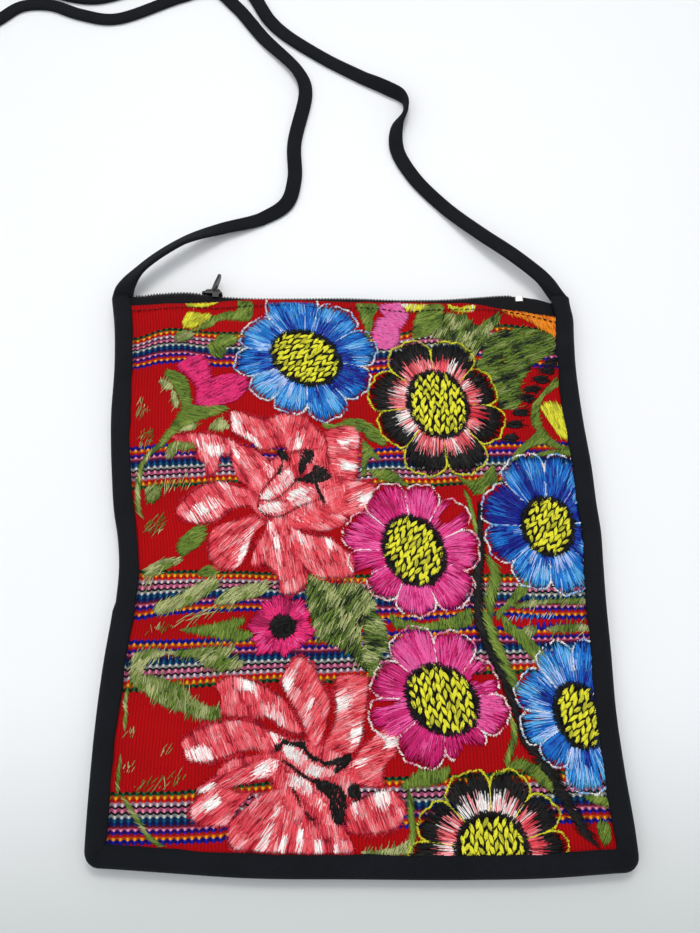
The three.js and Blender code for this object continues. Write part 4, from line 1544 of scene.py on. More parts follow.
@dataclass
class Stitches:
    """Straight threads on the cloth: their ends, colour, half width and height over it."""

    start: Array
    end: Array
    colour: Array
    width: Array
    lift: Array

    STATIONS = (0.0, 0.24, 0.76, 1.0)
    SINK = 0.12
    RIDGE = 1.2
    WIDEST_RIDGE = 0.2
    HALF_WIDTHS = (0.12, 0.19)
    LIFTS = (-0.06, 0.1)
    TRIM_STEPS = 12

    @classmethod
    def laid(
        cls,
        ends: Ends,
        floss: Floss,
        lift: Array | float,
        rng: Chance,
        bias: float = 0.0,
        thick: float = 1.0,
        tone: float = 1.0,
    ) -> "Stitches":
        """Stitches between points, with widths and heights that vary a little.

        Args:
            ends: the points that they start from, and those that they end at.
            floss: the threads that the colours come from.
            lift: the height over the cloth.
            rng: the motif's seeded chance.
            bias: how far the colours lean to the light end.
            thick: how many times as thick as a usual thread they are.
            tone: how bright they are beside their floss; below 1 it is painted shade on a layer under others.

        Returns:
            The stitches.
        """
        start, end = ends
        height = np.broadcast_to(lift, len(start)) + rng.uniform(*cls.LIFTS, len(start))
        colour = tone * pick_colours(floss, 0.5 * (start + end), rng, bias)
        return cls(start, end, colour, thick * rng.uniform(*cls.HALF_WIDTHS, len(start)), height)

    @classmethod
    def joined(cls, groups: list["Stitches"]) -> "Stitches":
        """Several groups as one."""
        return cls(*map(np.concatenate, zip(*(vars(group).values() for group in groups))))

    def kept(self, mask: Array) -> "Stitches":
        """Only the stitches that a mask keeps."""
        return Stitches(*(values[mask] for values in vars(self).values()))

    def points(self, shares: Array) -> Array:
        """Points of each stitch at shares of its length."""
        return self.start[:, None, :] + shares[None, :, None] * (self.end - self.start)[:, None, :]

    def trimmed(self, outline: BagOutline, lip: float) -> "Stitches":
        """The stitches cut back to the part of the cloth that shows.

        Args:
            outline: the bag's edges.
            lip: how far the binding's lips reach in.

        Returns:
            What is left of them.
        """
        samples = self.points(np.linspace(0.0, 1.0, self.TRIM_STEPS + 1))
        seen = outline.seen(samples, lip)
        first, last = np.argmax(seen, axis=1), self.TRIM_STEPS - np.argmax(seen[:, ::-1], axis=1)
        rows = np.arange(len(seen))
        cut = Stitches(samples[rows, first], samples[rows, last], self.colour, self.width, self.lift)
        return cut.kept(seen.any(axis=1) & (last - first > 1))

    def surface(self, height: Callable[[Array, Array], Array]) -> Surface:
        """Each stitch as a closed three-sided spindle that arches over the cloth, its ends sunk into it.

        A spindle has two rings, each of a left, a ridge and a right point, and a point at each end.

        Args:
            height: the cloth's height at X and Y.

        Returns:
            The stitches' mesh, with a colour at each vertex.
        """
        line = self.points(np.array(self.STATIONS))
        ground = height(line[..., 0].ravel(), line[..., 1].ravel()).reshape(len(line), 4)
        along = self.end - self.start
        along = along / np.maximum(np.linalg.norm(along, axis=1), 1e-6)[:, None]
        aside = left_of(along)[:, None, :] * self.width[:, None, None]
        body, low = line[:, 1:3, :], (ground[:, 1:3] + self.lift[:, None])[..., None]
        ridge = low + self.RIDGE * np.minimum(self.width, self.WIDEST_RIDGE)[:, None, None]
        corners = ((body - aside, low), (body, ridge), (body + aside, low))
        rings = np.stack([np.concatenate(corner, axis=2) for corner in corners], axis=2)
        tips = np.concatenate([line[:, ::3, :], ground[:, ::3, None] - self.SINK], axis=2)
        points = np.concatenate([rings.reshape(len(line), 6, 3), tips], axis=1)
        spindle = []
        for k, beside in ((0, 1), (1, 2), (2, 0)):
            spindle += [[6, k, beside], [7, 3 + beside, 3 + k]]
            spindle += [[k, 3 + k, 3 + beside], [k, 3 + beside, beside]]
        faces = np.array(spindle)[None] + 8 * np.arange(len(line))[:, None, None]
        colour = np.repeat(self.colour, 8, axis=0)
        return Surface(points.reshape(-1, 3), faces.reshape(-1, 3).tolist(), None, colour)


@dataclass(frozen=True)
class Spot:
    """An oval of the chart in pixels: its middle, its two half widths, and its lean anticlockwise."""

    x: float
    y: float
    half_wide: float
    half_tall: float
    lean: float = 0.0

    def middle(self, cloth: FrontCloth) -> Array:
        """The middle's place on the cloth."""
        return cloth.on_cloth(((self.x, self.y),))[0]

    def reach(self, cloth: FrontCloth, points: Array) -> Array:
        """How far points are from the middle, 1 being the oval's edge.

        Args:
            cloth: the cloth that carries the chart.
            points: places on the cloth.

        Returns:
            One number for each place.
        """
        middle, aside = cloth.on_cloth(((self.x, self.y), (self.x + 1.0, self.y)))
        away = (points - middle) / np.linalg.norm(aside - middle)
        way = heading(math.radians(self.lean))
        return np.hypot(away @ way / self.half_wide, away @ left_of(way) / self.half_tall)


@dataclass(frozen=True)
class Tint:
    """A spot where stitches take another floss, or where an empty floss leaves the cloth bare."""

    spot: Spot
    floss: Floss = ()

    SAMPLES = (0.3, 0.5, 0.7, 0.9)

    def apply(self, stitches: Stitches, cloth: FrontCloth, rng: Chance) -> Stitches:
        """The stitches paler from the spot's edge to its middle, or without those that cross it.

        Args:
            stitches: the stitches under the spot and around it.
            cloth: the cloth that carries them.
            rng: the motif's seeded chance.

        Returns:
            The stitches.
        """
        if not self.floss:
            reach = self.spot.reach(cloth, stitches.points(np.array(self.SAMPLES))).min(axis=1)
            return stitches.kept(reach > rng.uniform(0.75, 1.1, len(reach)))
        middle = 0.5 * (stitches.start + stitches.end)
        reach = self.spot.reach(cloth, middle)
        chosen = reach < rng.uniform(0.6, 1.5, len(reach))
        stitches.colour[chosen] = pick_colours(self.floss, middle[chosen], rng, 0.4 - 0.5 * reach[chosen])
        return stitches


def chords(polygon: Array, lean: float, pitch: float, rng: Chance) -> Ends:
    """Parallel lines at a lean, cut where they cross an outline.

    Args:
        polygon: the outline.
        lean: the lines' direction in degrees anticlockwise from X.
        pitch: the distance between lines.
        rng: the motif's seeded chance.

    Returns:
        The two ends of each piece that lies inside.
    """
    way = heading(math.radians(lean))
    spin = np.stack([way, left_of(way)])
    here = polygon @ spin.T
    after = np.roll(here, -1, axis=0)
    lines = np.arange(here[:, 1].min() + 0.5 * pitch, here[:, 1].max(), pitch)
    lines = lines + rng.uniform(-0.3, 0.3, len(lines)) * pitch
    crosses = (here[None, :, 1] <= lines[:, None]) != (after[None, :, 1] <= lines[:, None])
    leap = np.where(np.abs(after - here) < 1e-9, 1e-9, after - here)
    places = here[None, :, 0] + (lines[:, None] - here[None, :, 1]) / leap[None, :, 1] * leap[None, :, 0]
    places = np.sort(np.where(crosses, places, np.inf), axis=1)
    pairs = places[:, : places.shape[1] // 2 * 2].reshape(len(lines), -1, 2)
    row, column = np.nonzero(np.isfinite(pairs[..., 1]))
    start, end = (np.stack([pairs[row, column, side], lines[row]], axis=1) @ spin for side in (0, 1))
    return start, end


def long_and_short(lines: Ends, reach: float, rng: Chance) -> Ends:
    """Long lines cut into overlapping stitches with uneven ends.

    Args:
        lines: the two ends of each line.
        reach: the usual length of a stitch.
        rng: the motif's seeded chance.

    Returns:
        The two ends of each stitch.
    """
    start, end = lines
    length = np.linalg.norm(end - start, axis=1)
    pieces = np.maximum(np.ceil(length / reach + rng.uniform(-0.4, 0.4, len(length))), 1.0)
    order = np.arange(int(pieces.max()))[None, :]
    shake = rng.uniform(-0.3, 0.3, (len(length), order.shape[1] + 1))
    low = np.clip((order + shake[:, :-1] - 0.18) / pieces[:, None], 0.0, 1.0)
    high = np.clip((order + 1.0 + shake[:, 1:] + 0.18) / pieces[:, None], 0.0, 1.0)
    low = np.where(order == 0, 0.0, low)
    high = np.where(order + 1 >= pieces[:, None], 1.0, high)
    row, column = np.nonzero(order < pieces[:, None])
    leap = (end - start)[row]
    return start[row] + leap * low[row, column][:, None], start[row] + leap * high[row, column][:, None]


def loosened(ends: Ends, slip: float, turn: float, rng: Chance) -> Ends:
    """Stitches drawn in or out at their ends and turned a little about their middles.

    Args:
        ends: the stitches' two ends.
        slip: how far an end slips, in millimetres.
        turn: how far a stitch turns, in degrees.
        rng: the motif's seeded chance.

    Returns:
        The new ends.
    """
    middle, arm = 0.5 * (ends[0] + ends[1]), 0.5 * (ends[1] - ends[0])
    angle = np.radians(rng.normal(0.0, turn, len(arm)))[:, None]
    arm = arm * np.cos(angle) + left_of(arm) * np.sin(angle)
    length = np.maximum(np.linalg.norm(arm, axis=1), 1.0)[:, None]
    stretch = 1.0 + rng.normal(0.0, slip, (len(arm), 2)) / length
    return middle - arm * stretch[:, :1], middle + arm * stretch[:, 1:]


@dataclass(frozen=True)
class Edging:
    """Stitches set across a line one after the other.

    The slant is the stitch's angle to the line, 0 lying along it. An uneven edging has mixed lengths
    and angles, and a bare share leaves stretches of the line without stitches.
    """

    floss: Floss
    pitch: float
    size: float
    slant: float
    uneven: float = 0.25
    bare: float = 0.0
    thick: float = 1.0

    def along(self, line: Array, lift: float, rng: Chance) -> Stitches:
        """The edging's stitches on a line.

        Args:
            line: the line's points.
            lift: the height over the cloth.
            rng: the motif's seeded chance.

        Returns:
            The stitches.
        """
        even = np.arange(0.0, max(path_length(line)[-1], 2.0 * self.pitch), self.pitch)
        place = spaced(line, even)
        step = np.gradient(place, axis=0)
        shake = rng.normal(0.0, 0.8 * self.uneven, len(place))
        angle = np.arctan2(step[:, 1], step[:, 0]) + math.radians(self.slant) + shake
        half = 0.5 * self.size * rng.uniform(1.0 - self.uneven, 1.0 + self.uneven, len(place))[:, None]
        arm = heading(angle) * half
        laid = Stitches.laid((place - arm, place + arm), self.floss, lift, rng, thick=self.thick)
        wander = 0.5 + 0.3 * wobble(even, 17.0, int(rng.integers(1000))) + rng.normal(0.0, 0.2, len(even))
        return laid.kept(wander > self.bare) if self.bare else laid


@dataclass(frozen=True)
class Patch:
    """An area filled with long and short stitches that lie one way, over a layer of the same floss darkened
    as painted shade.

    A patch with a wide pitch is thin, and has no shaded layer under it.
    """

    outline: Pixels
    lean: float
    floss: Floss
    pitch: float = 0.27
    reach: float = 5.0
    lift: float = 0.22
    rim: Edging | None = None
    tints: tuple[Tint, ...] = ()
    slip: float = 0.65
    turn: float = 7.0

    THIN_PITCH = 0.5
    UNDER_PITCH = 0.62
    UNDER_REACH = 7.0
    UNDER_DROP = 0.14
    # The layer under the stitches is thick and darkened: painted shade in the gaps between the stitches over
    # it.
    SHADED_UNDER_LOOK = {"thick": 3.0, "tone": 0.7}
    RIM_LIFT = 0.03

    def stitches(self, cloth: FrontCloth, rng: Chance) -> list[Stitches]:
        """The patch's stitches, its tints applied.

        Args:
            cloth: the cloth that carries them.
            rng: the group's seeded chance.

        Returns:
            The filling and its rim.
        """
        area = closed_curve(cloth.on_cloth(self.outline))
        made = []
        if self.pitch < self.THIN_PITCH:
            under = long_and_short(chords(area, self.lean, self.UNDER_PITCH, rng), self.UNDER_REACH, rng)
            made.append(Stitches.laid(under, self.floss, self.lift - self.UNDER_DROP, rng, **self.SHADED_UNDER_LOOK))
        over = long_and_short(chords(area, self.lean, self.pitch, rng), self.reach, rng)
        made.append(Stitches.laid(loosened(over, self.slip, self.turn, rng), self.floss, self.lift, rng))
        filled = Stitches.joined(made)
        for tint in self.tints:
            filled = tint.apply(filled, cloth, rng)
        if self.rim is None:
            return [filled]
        around = np.concatenate([area, area[:1]])
        return [filled, self.rim.along(around, self.lift + self.RIM_LIFT, rng)]


@dataclass(frozen=True)
class Stem:
    """A line of slanting stitches, as wide as it is charted."""

    line: Pixels
    wide: float
    floss: Floss
    slant: float
    pitch: float
    lift: float = 0.22

    def stitches(self, cloth: FrontCloth, rng: Chance) -> list[Stitches]:
        """The stem's stitches.

        Args:
            cloth: the cloth that carries them.
            rng: the group's seeded chance.

        Returns:
            The stitches as one group.
        """
        corners = cloth.on_cloth(self.line)
        line = open_curve(corners, 8 * len(corners))
        scale = np.linalg.norm(corners[1] - corners[0]) / math.dist(self.line[0], self.line[1])
        size = self.wide * scale / math.sin(math.radians(self.slant))
        return [Edging(self.floss, self.pitch, size, self.slant, 0.16).along(line, self.lift, rng)]


@dataclass(frozen=True)
class PetalTones:
    """The flosses of a round flower's petals, how far the inner one reaches, and how bare the edging is."""

    outer: Floss
    inner: Floss
    streak: Floss
    edge: Floss
    inner_reach: Pair = (0.35, 0.8)
    edge_bare: float = 0.3
    frill: float = 0.018


@dataclass(frozen=True)
class RoundPetal:
    """One petal of a round flower: the angles of a notch, its tip and the next notch, and their reaches."""

    turns: tuple[float, float, float]
    tip: float
    dips: Array
    frill: float
    seed: int

    def edge(self, share: Array) -> Ends:
        """The petal's rounded edge.

        Its reach is the notch's plus a rounded lobe: the square root of one less the share across to the
        power of two and a half. A small wandering value frills it.

        Args:
            share: shares across the petal, from -1 at one notch to 1 at the other.

        Returns:
            The angle and the distance from the heart's middle.
        """
        low, middle, high = self.turns
        turn = np.where(share < 0, middle + share * (middle - low), middle + share * (high - middle))
        dip = self.dips[0] + (self.dips[1] - self.dips[0]) * 0.5 * (share + 1.0)
        lobe = np.sqrt(np.clip(1.0 - np.abs(share) ** 2.5, 0.0, 1.0))
        frill = self.frill * self.tip * wobble(turn * self.tip, 9.0, self.seed)
        return turn, dip + (self.tip - dip) * lobe + frill


@dataclass(frozen=True)
class RoundFlower:
    """Petals in rays about an oval heart of pointed yellow flecks.

    The tips go round the flower in order. Half-way between two tips the petals meet in a notch.
    """

    heart: Spot
    tips: Pixels
    tones: PetalTones
    fleck_lean: float
    bare: tuple[Spot, ...] = ()
    flecked: bool = True

    NOTCH = 0.76
    LIFT = 0.3
    DOME = 0.3
    HEART_SHARE = 0.88
    HEART_PITCH = 0.26
    UNDER_PITCH = 0.55
    FLECK_COLUMN = 1.65
    FLECK_STEP = 3.9
    FLECK_LONG = 6.3
    FLECK_LEAN = 16.0
    FLECK_THREADS = (-0.5, -0.25, 0.0, 0.25, 0.5)

    def shapes(self, cloth: FrontCloth) -> list[RoundPetal]:
        """The petals between their notches, anticlockwise.

        Args:
            cloth: the cloth that carries them.

        Returns:
            One shape for each tip.
        """
        away = cloth.on_cloth(self.tips) - self.heart.middle(cloth)
        angle = np.unwrap(np.arctan2(away[:, 1], away[:, 0]))
        if angle[-1] < angle[0]:
            angle, away = angle[::-1], away[::-1]
        tip = np.linalg.norm(away, axis=1)
        before, after = np.roll(angle, 1), np.roll(angle, -1)
        before[0] -= FULL_TURN
        after[-1] += FULL_TURN
        lows, highs = 0.5 * (angle + before), 0.5 * (angle + after)
        dips = self.NOTCH * 0.5 * (tip[:, None] + np.stack([np.roll(tip, 1), np.roll(tip, -1)], axis=1))
        return [
            RoundPetal((lows[k], angle[k], highs[k]), tip[k], dips[k], self.tones.frill, 41 + k)
            for k in range(len(tip))
        ]

    def petals(self, cloth: FrontCloth, rng: Chance) -> list[Stitches]:
        """Rays from the heart to each petal's edge in four layers, and the edge's own stitches.

        Each layer lists its floss, the step between rays, where they start and end as shares of the way
        from the heart to the edge, their lift, their thickness and their tone. The first layer lies under the
        others, and its tone below 1 is painted shade. Each petal leans to lighter or darker threads than its
        neighbours.

        Args:
            cloth: the cloth that carries them.
            rng: the group's seeded chance.

        Returns:
            The layers of one petal after the other.
        """
        middle, tones, made = self.heart.middle(cloth), self.tones, []
        top = self.LIFT + self.DOME
        edging = Edging(tones.edge, 0.3, 1.3, 60.0, 0.42, tones.edge_bare, 0.85)
        divider = Edging(tones.edge, 0.5, 2.0, 14.0, 0.35, tones.edge_bare + 0.1, 0.85)
        layers = (
            # The first layer lies under the others; its tone of 0.75 is painted shade between the rays over
            # it.
            (tones.outer, 0.5, (0.0, 0.05), (0.86, 0.97), -0.1, 3.0, 0.75),
            (tones.outer, 0.2, (0.3, 0.6), (0.9, 1.04), 0.0, 1.0, 1.0),
            (tones.inner, 0.26, (0.0, 0.1), tones.inner_reach, 0.12, 1.0, 1.0),
            (tones.streak, 0.8, (0.25, 0.55), (0.7, 0.98), 0.18, 1.0, 1.0),
        )
        for shape in self.shapes(cloth):
            low, tip_turn, high = shape.turns
            inner = self.HEART_SHARE * self.heart_edge(cloth, tip_turn)
            bias = rng.normal(0.0, 0.2)
            for floss, step, first, last, lift, thick, tone in layers:
                share = np.linspace(-0.97, 0.97, max(int((high - low) * shape.tip / step), 2))
                share = share + rng.normal(0.0, 0.02, len(share))
                turn, reach = shape.edge(np.clip(share, -1.0, 1.0))
                start = inner + (reach - inner) * rng.uniform(*first, len(share))
                end = inner + (reach - inner) * rng.uniform(*last, len(share))
                sway = rng.normal(0.0, 0.03, len(share))
                dome = self.LIFT + lift + self.DOME * (1.0 - share**2)
                ends = (middle + heading(turn) * start[:, None], middle + heading(turn + sway) * end[:, None])
                made.append(Stitches.laid(ends, floss, dome, rng, bias, thick, tone))
            if tones.edge:
                turn, reach = shape.edge(np.linspace(-1.0, 1.0, 60))
                made.append(edging.along(middle + heading(turn) * reach[:, None], top, rng))
                notch_line = middle + np.outer((inner * 1.25, shape.dips[1]), heading(high))
                made.append(divider.along(notch_line, top, rng))
        return made

    def heart_edge(self, cloth: FrontCloth, turn: Array) -> Array:
        """Distance from the heart's middle to its edge at angles."""
        return 1.0 / self.heart.reach(cloth, self.heart.middle(cloth) + heading(turn))

    def heart_stitches(self, cloth: FrontCloth, rng: Chance) -> list[Stitches]:
        """The heart: black stitches with a black rim, and pointed yellow flecks over them.

        The flecks stand in columns and lean one way in one column and the other way in the next. Each is
        a few threads side by side, the longest in the middle.

        Args:
            cloth: the cloth that carries them.
            rng: the group's seeded chance.

        Returns:
            The black stitches, their rim, and the flecks or a plain black top.
        """
        middle = self.heart.middle(cloth)
        turns = np.linspace(0.0, FULL_TURN, 60, endpoint=False)
        ring = middle + heading(turns) * self.heart_edge(cloth, turns)[:, None]
        under = chords(ring, self.fleck_lean, self.UNDER_PITCH, rng)
        under = long_and_short(under, Patch.UNDER_REACH, rng)
        over = long_and_short(chords(ring, self.fleck_lean, self.HEART_PITCH, rng), 4.0, rng)
        around = np.concatenate([ring, ring[:1]])
        edge = Edging(BLACK, 0.2, 3.8, 82.0, 0.7).along(around, self.LIFT + 0.55, rng)
        # The black layer under the heart is darkened as painted shade.
        made = [Stitches.laid(under, BLACK, self.LIFT, rng, **Patch.SHADED_UNDER_LOOK), edge]
        if not self.flecked:
            return made + [Stitches.laid(over, BLACK, self.LIFT + 0.45, rng, thick=1.15)]
        column, row = (axis.ravel() for axis in np.meshgrid(np.arange(-12, 13), np.arange(-11, 12)))
        odd = column % 2
        turn = math.radians(self.fleck_lean)
        along = heading(turn)
        step = self.FLECK_STEP * (row + 0.4 * odd)
        spot = np.outer(self.FLECK_COLUMN * column, left_of(along)) + np.outer(step, along)
        spot = middle + spot + rng.normal(0.0, 0.22, spot.shape)
        spot, odd = (rows[self.heart.reach(cloth, spot) < 0.96] for rows in (spot, odd))
        way = heading(turn + np.radians(self.FLECK_LEAN * (1 - 2 * odd) + rng.normal(0.0, 8.0, len(odd))))
        arm = way * (0.5 * self.FLECK_LONG * rng.uniform(0.8, 1.15, len(odd)))[:, None]
        for thread in self.FLECK_THREADS:
            place, reach = spot + thread * left_of(way), (1.0 - 0.9 * abs(thread)) * arm
            ends = (place - reach, place + reach)
            made.append(Stitches.laid(ends, YELLOW, self.LIFT + 0.5, rng, thick=1.25))
        return made

    def stitches(self, cloth: FrontCloth, rng: Chance) -> list[Stitches]:
        """The whole flower's stitches, bare spots left out of its petals.

        Args:
            cloth: the cloth that carries them.
            rng: the group's seeded chance.

        Returns:
            The petals and the heart.
        """
        petals = Stitches.joined(self.petals(cloth, rng))
        for spot in self.bare:
            petals = Tint(spot).apply(petals, cloth, rng)
        return [petals] + self.heart_stitches(cloth, rng)


def threads(names: str) -> Floss:
    """A floss of threads named from dark to light."""
    return tuple(Thread[name] for name in names.split())


SALMON = threads("CRIMSON ROSE SALMON SALMON CORAL CORAL BLUSH")
CRIMSON = threads("CRIMSON ROSE ROSE")
WHITE = threads("CORAL BLUSH WHITE WHITE")
BLACK = threads("BLACK BLACK SOOT")
GREEN = threads("MOSS GREEN GREEN LEAF")
PALE = threads("GREEN SAGE PALE PALE")
MIXED = threads("MOSS GREEN SAGE PALE")
SAGE = threads("BLACK OLIVE MOSS GREEN SAGE PALE PALE")
OLIVE = threads("BLACK OLIVE MOSS GREEN GREEN SAGE")
YELLOW = threads("STRAW YELLOW YELLOW")
CREAM = threads("STRAW YELLOW WHITE")
ORANGE = threads("AMBER ORANGE ORANGE")
BUD = threads("BUD BUD PINK")
HOT = threads("WINE HOT HOT HOT")
BLUE = threads("BLUE SKY LAVENDER")
BLUE_TONES = PetalTones(
    threads("NAVY COBALT BLUE BLUE SKY SKY"),
    threads("NAVY NAVY COBALT BLUE LAVENDER"),
    threads("NAVY BLUE SKY LAVENDER"),
    threads("SKY LAVENDER WHITE WHITE"),
)
MAGENTA_TONES = PetalTones(
    threads("WINE MAGENTA MAGENTA PINK"),
    threads("MAGENTA MAGENTA PINK PINK"),
    threads("MAGENTA PINK PINK"),
    threads("PINK BLUSH WHITE WHITE"),
)
DARK_INNER = threads("ROSE SALMON SALMON CORAL CORAL BLUSH WHITE WHITE")
DARK_TONES = PetalTones(BLACK, DARK_INNER, BLACK, YELLOW, (0.4, 0.78), 0.12)
SMALL_TONES = PetalTones(HOT, threads("WINE HOT HOT"), threads("WINE HOT BUD"), (), frill=0.09)
PETAL_RIM = Edging(CRIMSON, 0.34, 2.4, 70.0, 0.6, 0.5, 0.8)


def petal(lean: float, *corners: float, white: tuple[Numbers, ...] = ()) -> Patch:
    """A salmon petal with a broken crimson rim and white spots.

    Args:
        lean: the way its stitches lie.
        corners: its corners, X and Y in turn.
        white: each white spot's middle, half widths and lean.

    Returns:
        The petal.
    """
    tints = tuple(Tint(Spot(*row), WHITE) for row in white)
    return Patch(paired(*corners), lean, SALMON, 0.2, 7.0, 0.3, PETAL_RIM, tints, 0.5, 4.0)


def patch(floss: Floss, lean: float, *corners: float, **more: float) -> Patch:
    """An even patch, its corners as X and Y in turn, with other settings by name."""
    return Patch(paired(*corners), lean, floss, **more)


def tangle(floss: Floss, lean: float, *corners: float, pitch: float = 0.32) -> Patch:
    """A ragged green patch with loose stitches, its corners as X and Y in turn."""
    return Patch(paired(*corners), lean, floss, pitch, 4.5, slip=1.4, turn=14.0)


def stem(floss: Floss, wide: float, slant: float, pitch: float, *line: float, lift: float = 0.22) -> Stem:
    """A stem, its line as X and Y in turn."""
    return Stem(paired(*line), wide, floss, slant, pitch, lift)


def flower(tones: PetalTones, fleck_lean: float, heart: Spot, *tips: float, **more: object) -> RoundFlower:
    """A round flower, its petals' tips as X and Y in turn, with other settings by name."""
    return RoundFlower(heart, paired(*tips), tones, fleck_lean, **more)


ROUND_UPPER = (
    flower(BLUE_TONES, 40, Spot(306, 358, 36, 27, -35), 288, 290, 346, 311, 376, 347, 367, 390, 334, 420,
        286, 413, 254, 394, 235, 364, 243, 332),
    flower(DARK_TONES, 90, Spot(438, 405, 28, 37, 18), 452, 343, 494, 386, 503, 430, 470, 474, 428, 476,
        382, 434, 369, 390, 404, 344),
    flower(MAGENTA_TONES, 60, Spot(414, 551, 28, 37, 22), 422, 485, 464, 507, 479, 545, 462, 606, 420, 617,
        372, 593, 349, 566, 343, 533, 384, 485, bare=(Spot(452, 512, 12, 8, 20), Spot(362, 575, 11, 5))),
    flower(BLUE_TONES, 60, Spot(548, 527, 25, 29), 562, 456, 600, 490, 600, 545, 574, 594, 530, 588,
        488, 547, 482, 503, 524, 455),
)
ROUND_LOWER = (
    flower(MAGENTA_TONES, 100, Spot(442, 700, 38, 30, -42), 455, 632, 495, 673, 509, 717, 473, 757, 416, 766,
        369, 717, 372, 680, 406, 629,
        bare=(Spot(481, 677, 9, 5, -20), Spot(384, 704, 10, 4), Spot(474, 758, 22, 11, 15))),
    flower(BLUE_TONES, 60, Spot(579, 716, 22, 31, 15), 588, 640, 625, 690, 628, 745, 590, 794, 546, 761,
        523, 735, 518, 682, 554, 642),
    flower(DARK_TONES, 90, Spot(492, 851, 35, 35), 512, 771, 556, 807, 568, 846, 560, 880, 430, 885,
        408, 857, 418, 824, 467, 772),
    flower(SMALL_TONES, 20, Spot(283, 627, 11, 10), 283, 594, 307, 604, 315, 633, 290, 655, 254, 650,
        247, 621, 259, 605, flecked=False),
)
LONG_UPPER = (
    petal(100, 255, 470, 290, 452, 328, 452, 345, 482, 338, 512, 300, 532, 264, 522, 248, 496),
    petal(112, 231, 410, 238, 411, 263, 418, 286, 414, 291, 442, 277, 449, 263, 452, 249, 441, 235, 434,
        231, 424, white=((237, 427, 6, 15, 15), (250, 440, 10, 4, -35))),
    petal(76, 281, 422, 291, 413, 305, 414, 314, 425, 324, 436, 326, 450, 319, 462, 300, 452, 288, 455,
        283, 439, white=((299, 443, 4, 11, 0),)),
    petal(172, 325, 431, 352, 427, 361, 435, 360, 456, 359, 473, 352, 480, 333, 474, 325, 462, 326, 446,
        white=((347, 444, 6, 10, 0), (347, 467, 8, 6, 0))),
    petal(22, 319, 484, 333, 480, 354, 480, 375, 484, 373, 498, 364, 511, 347, 516, 333, 512, 324, 504,
        white=((362, 499, 12, 7, 25),)),
    petal(108, 290, 526, 305, 533, 326, 536, 340, 545, 354, 559, 352, 577, 333, 580, 317, 578, 305, 568,
        295, 553, white=((306, 541, 7, 6, -30), (330, 545, 4, 9, 0))),
    petal(98, 269, 519, 284, 523, 291, 540, 305, 568, 307, 582, 295, 595, 281, 595, 279, 580, 269, 568,
        252, 566, 255, 547, 263, 533, white=((277, 546, 4, 15, 12), (271, 524, 4, 7, 0))),
    petal(42, 258, 515, 266, 522, 255, 533, 248, 552, 239, 566, 225, 571, 211, 564, 207, 549, 211, 533,
        225, 523, 242, 519, white=((242, 551, 5, 15, -25), (251, 532, 4, 8, -25))),
    petal(146, 286, 514, 305, 509, 326, 507, 345, 516, 345, 526, 326, 532, 312, 530, 295, 528,
        white=((300, 519, 8, 3, -10),)),
    petal(122, 258, 507, 244, 508, 228, 512, 218, 521, 200, 525, 183, 519, 176, 509, 187, 495, 204, 484,
        218, 480, 232, 484, 249, 490, 260, 497, white=((206, 510, 17, 7, 18), (225, 484, 7, 4, 0))),
    petal(106, 173, 436, 193, 432, 221, 435, 238, 445, 232, 455, 221, 456, 218, 470, 207, 479, 204, 463,
        196, 459, 197, 446, 179, 442, white=((210, 448, 14, 7, -8),)),
    petal(126, 232, 445, 249, 446, 263, 456, 276, 473, 269, 484, 260, 495, 249, 487, 239, 479, 232, 463,
        231, 453, white=((235, 454, 4, 8, 0), (268, 470, 5, 9, 30))),
    patch(WHITE, 120, 260, 498, 269, 484, 286, 469, 295, 480, 284, 491, 269, 500, lift=0.5),
    patch(WHITE, 150, 286, 495, 303, 486, 318, 493, 314, 501, 295, 507, lift=0.5),
    patch(WHITE, 125, 259, 504, 277, 501, 288, 504, 286, 512, 269, 516, 260, 512, lift=0.5),
    patch(BLACK, 120, 301, 452, 310, 449, 315, 459, 308, 467, 302, 476, 298, 467, pitch=0.26, lift=0.55),
    patch(BLACK, 40, 314, 467, 322, 465, 332, 476, 318, 484, 300, 484, 295, 479, 307, 476, pitch=0.26,
        lift=0.55),
    patch(BLACK, 110, 277, 449, 286, 453, 291, 463, 284, 464, 281, 476, 277, 473, 281, 462, pitch=0.26,
        lift=0.5),
    stem(BLACK, 3, 60, 0.8, 258, 508, 260, 495, 269, 483, 278, 473, lift=0.6),
    stem(BLACK, 3, 60, 0.7, 260, 501, 274, 500, 287, 491, 297, 480, lift=0.6),
    stem(BLACK, 4, 60, 0.7, 259, 510, 269, 517, 283, 516, 297, 508, 314, 502, 324, 498, lift=0.6),
    stem(BLACK, 5, 60, 0.4, 316, 484, 319, 492, 324, 503, lift=0.6),
)
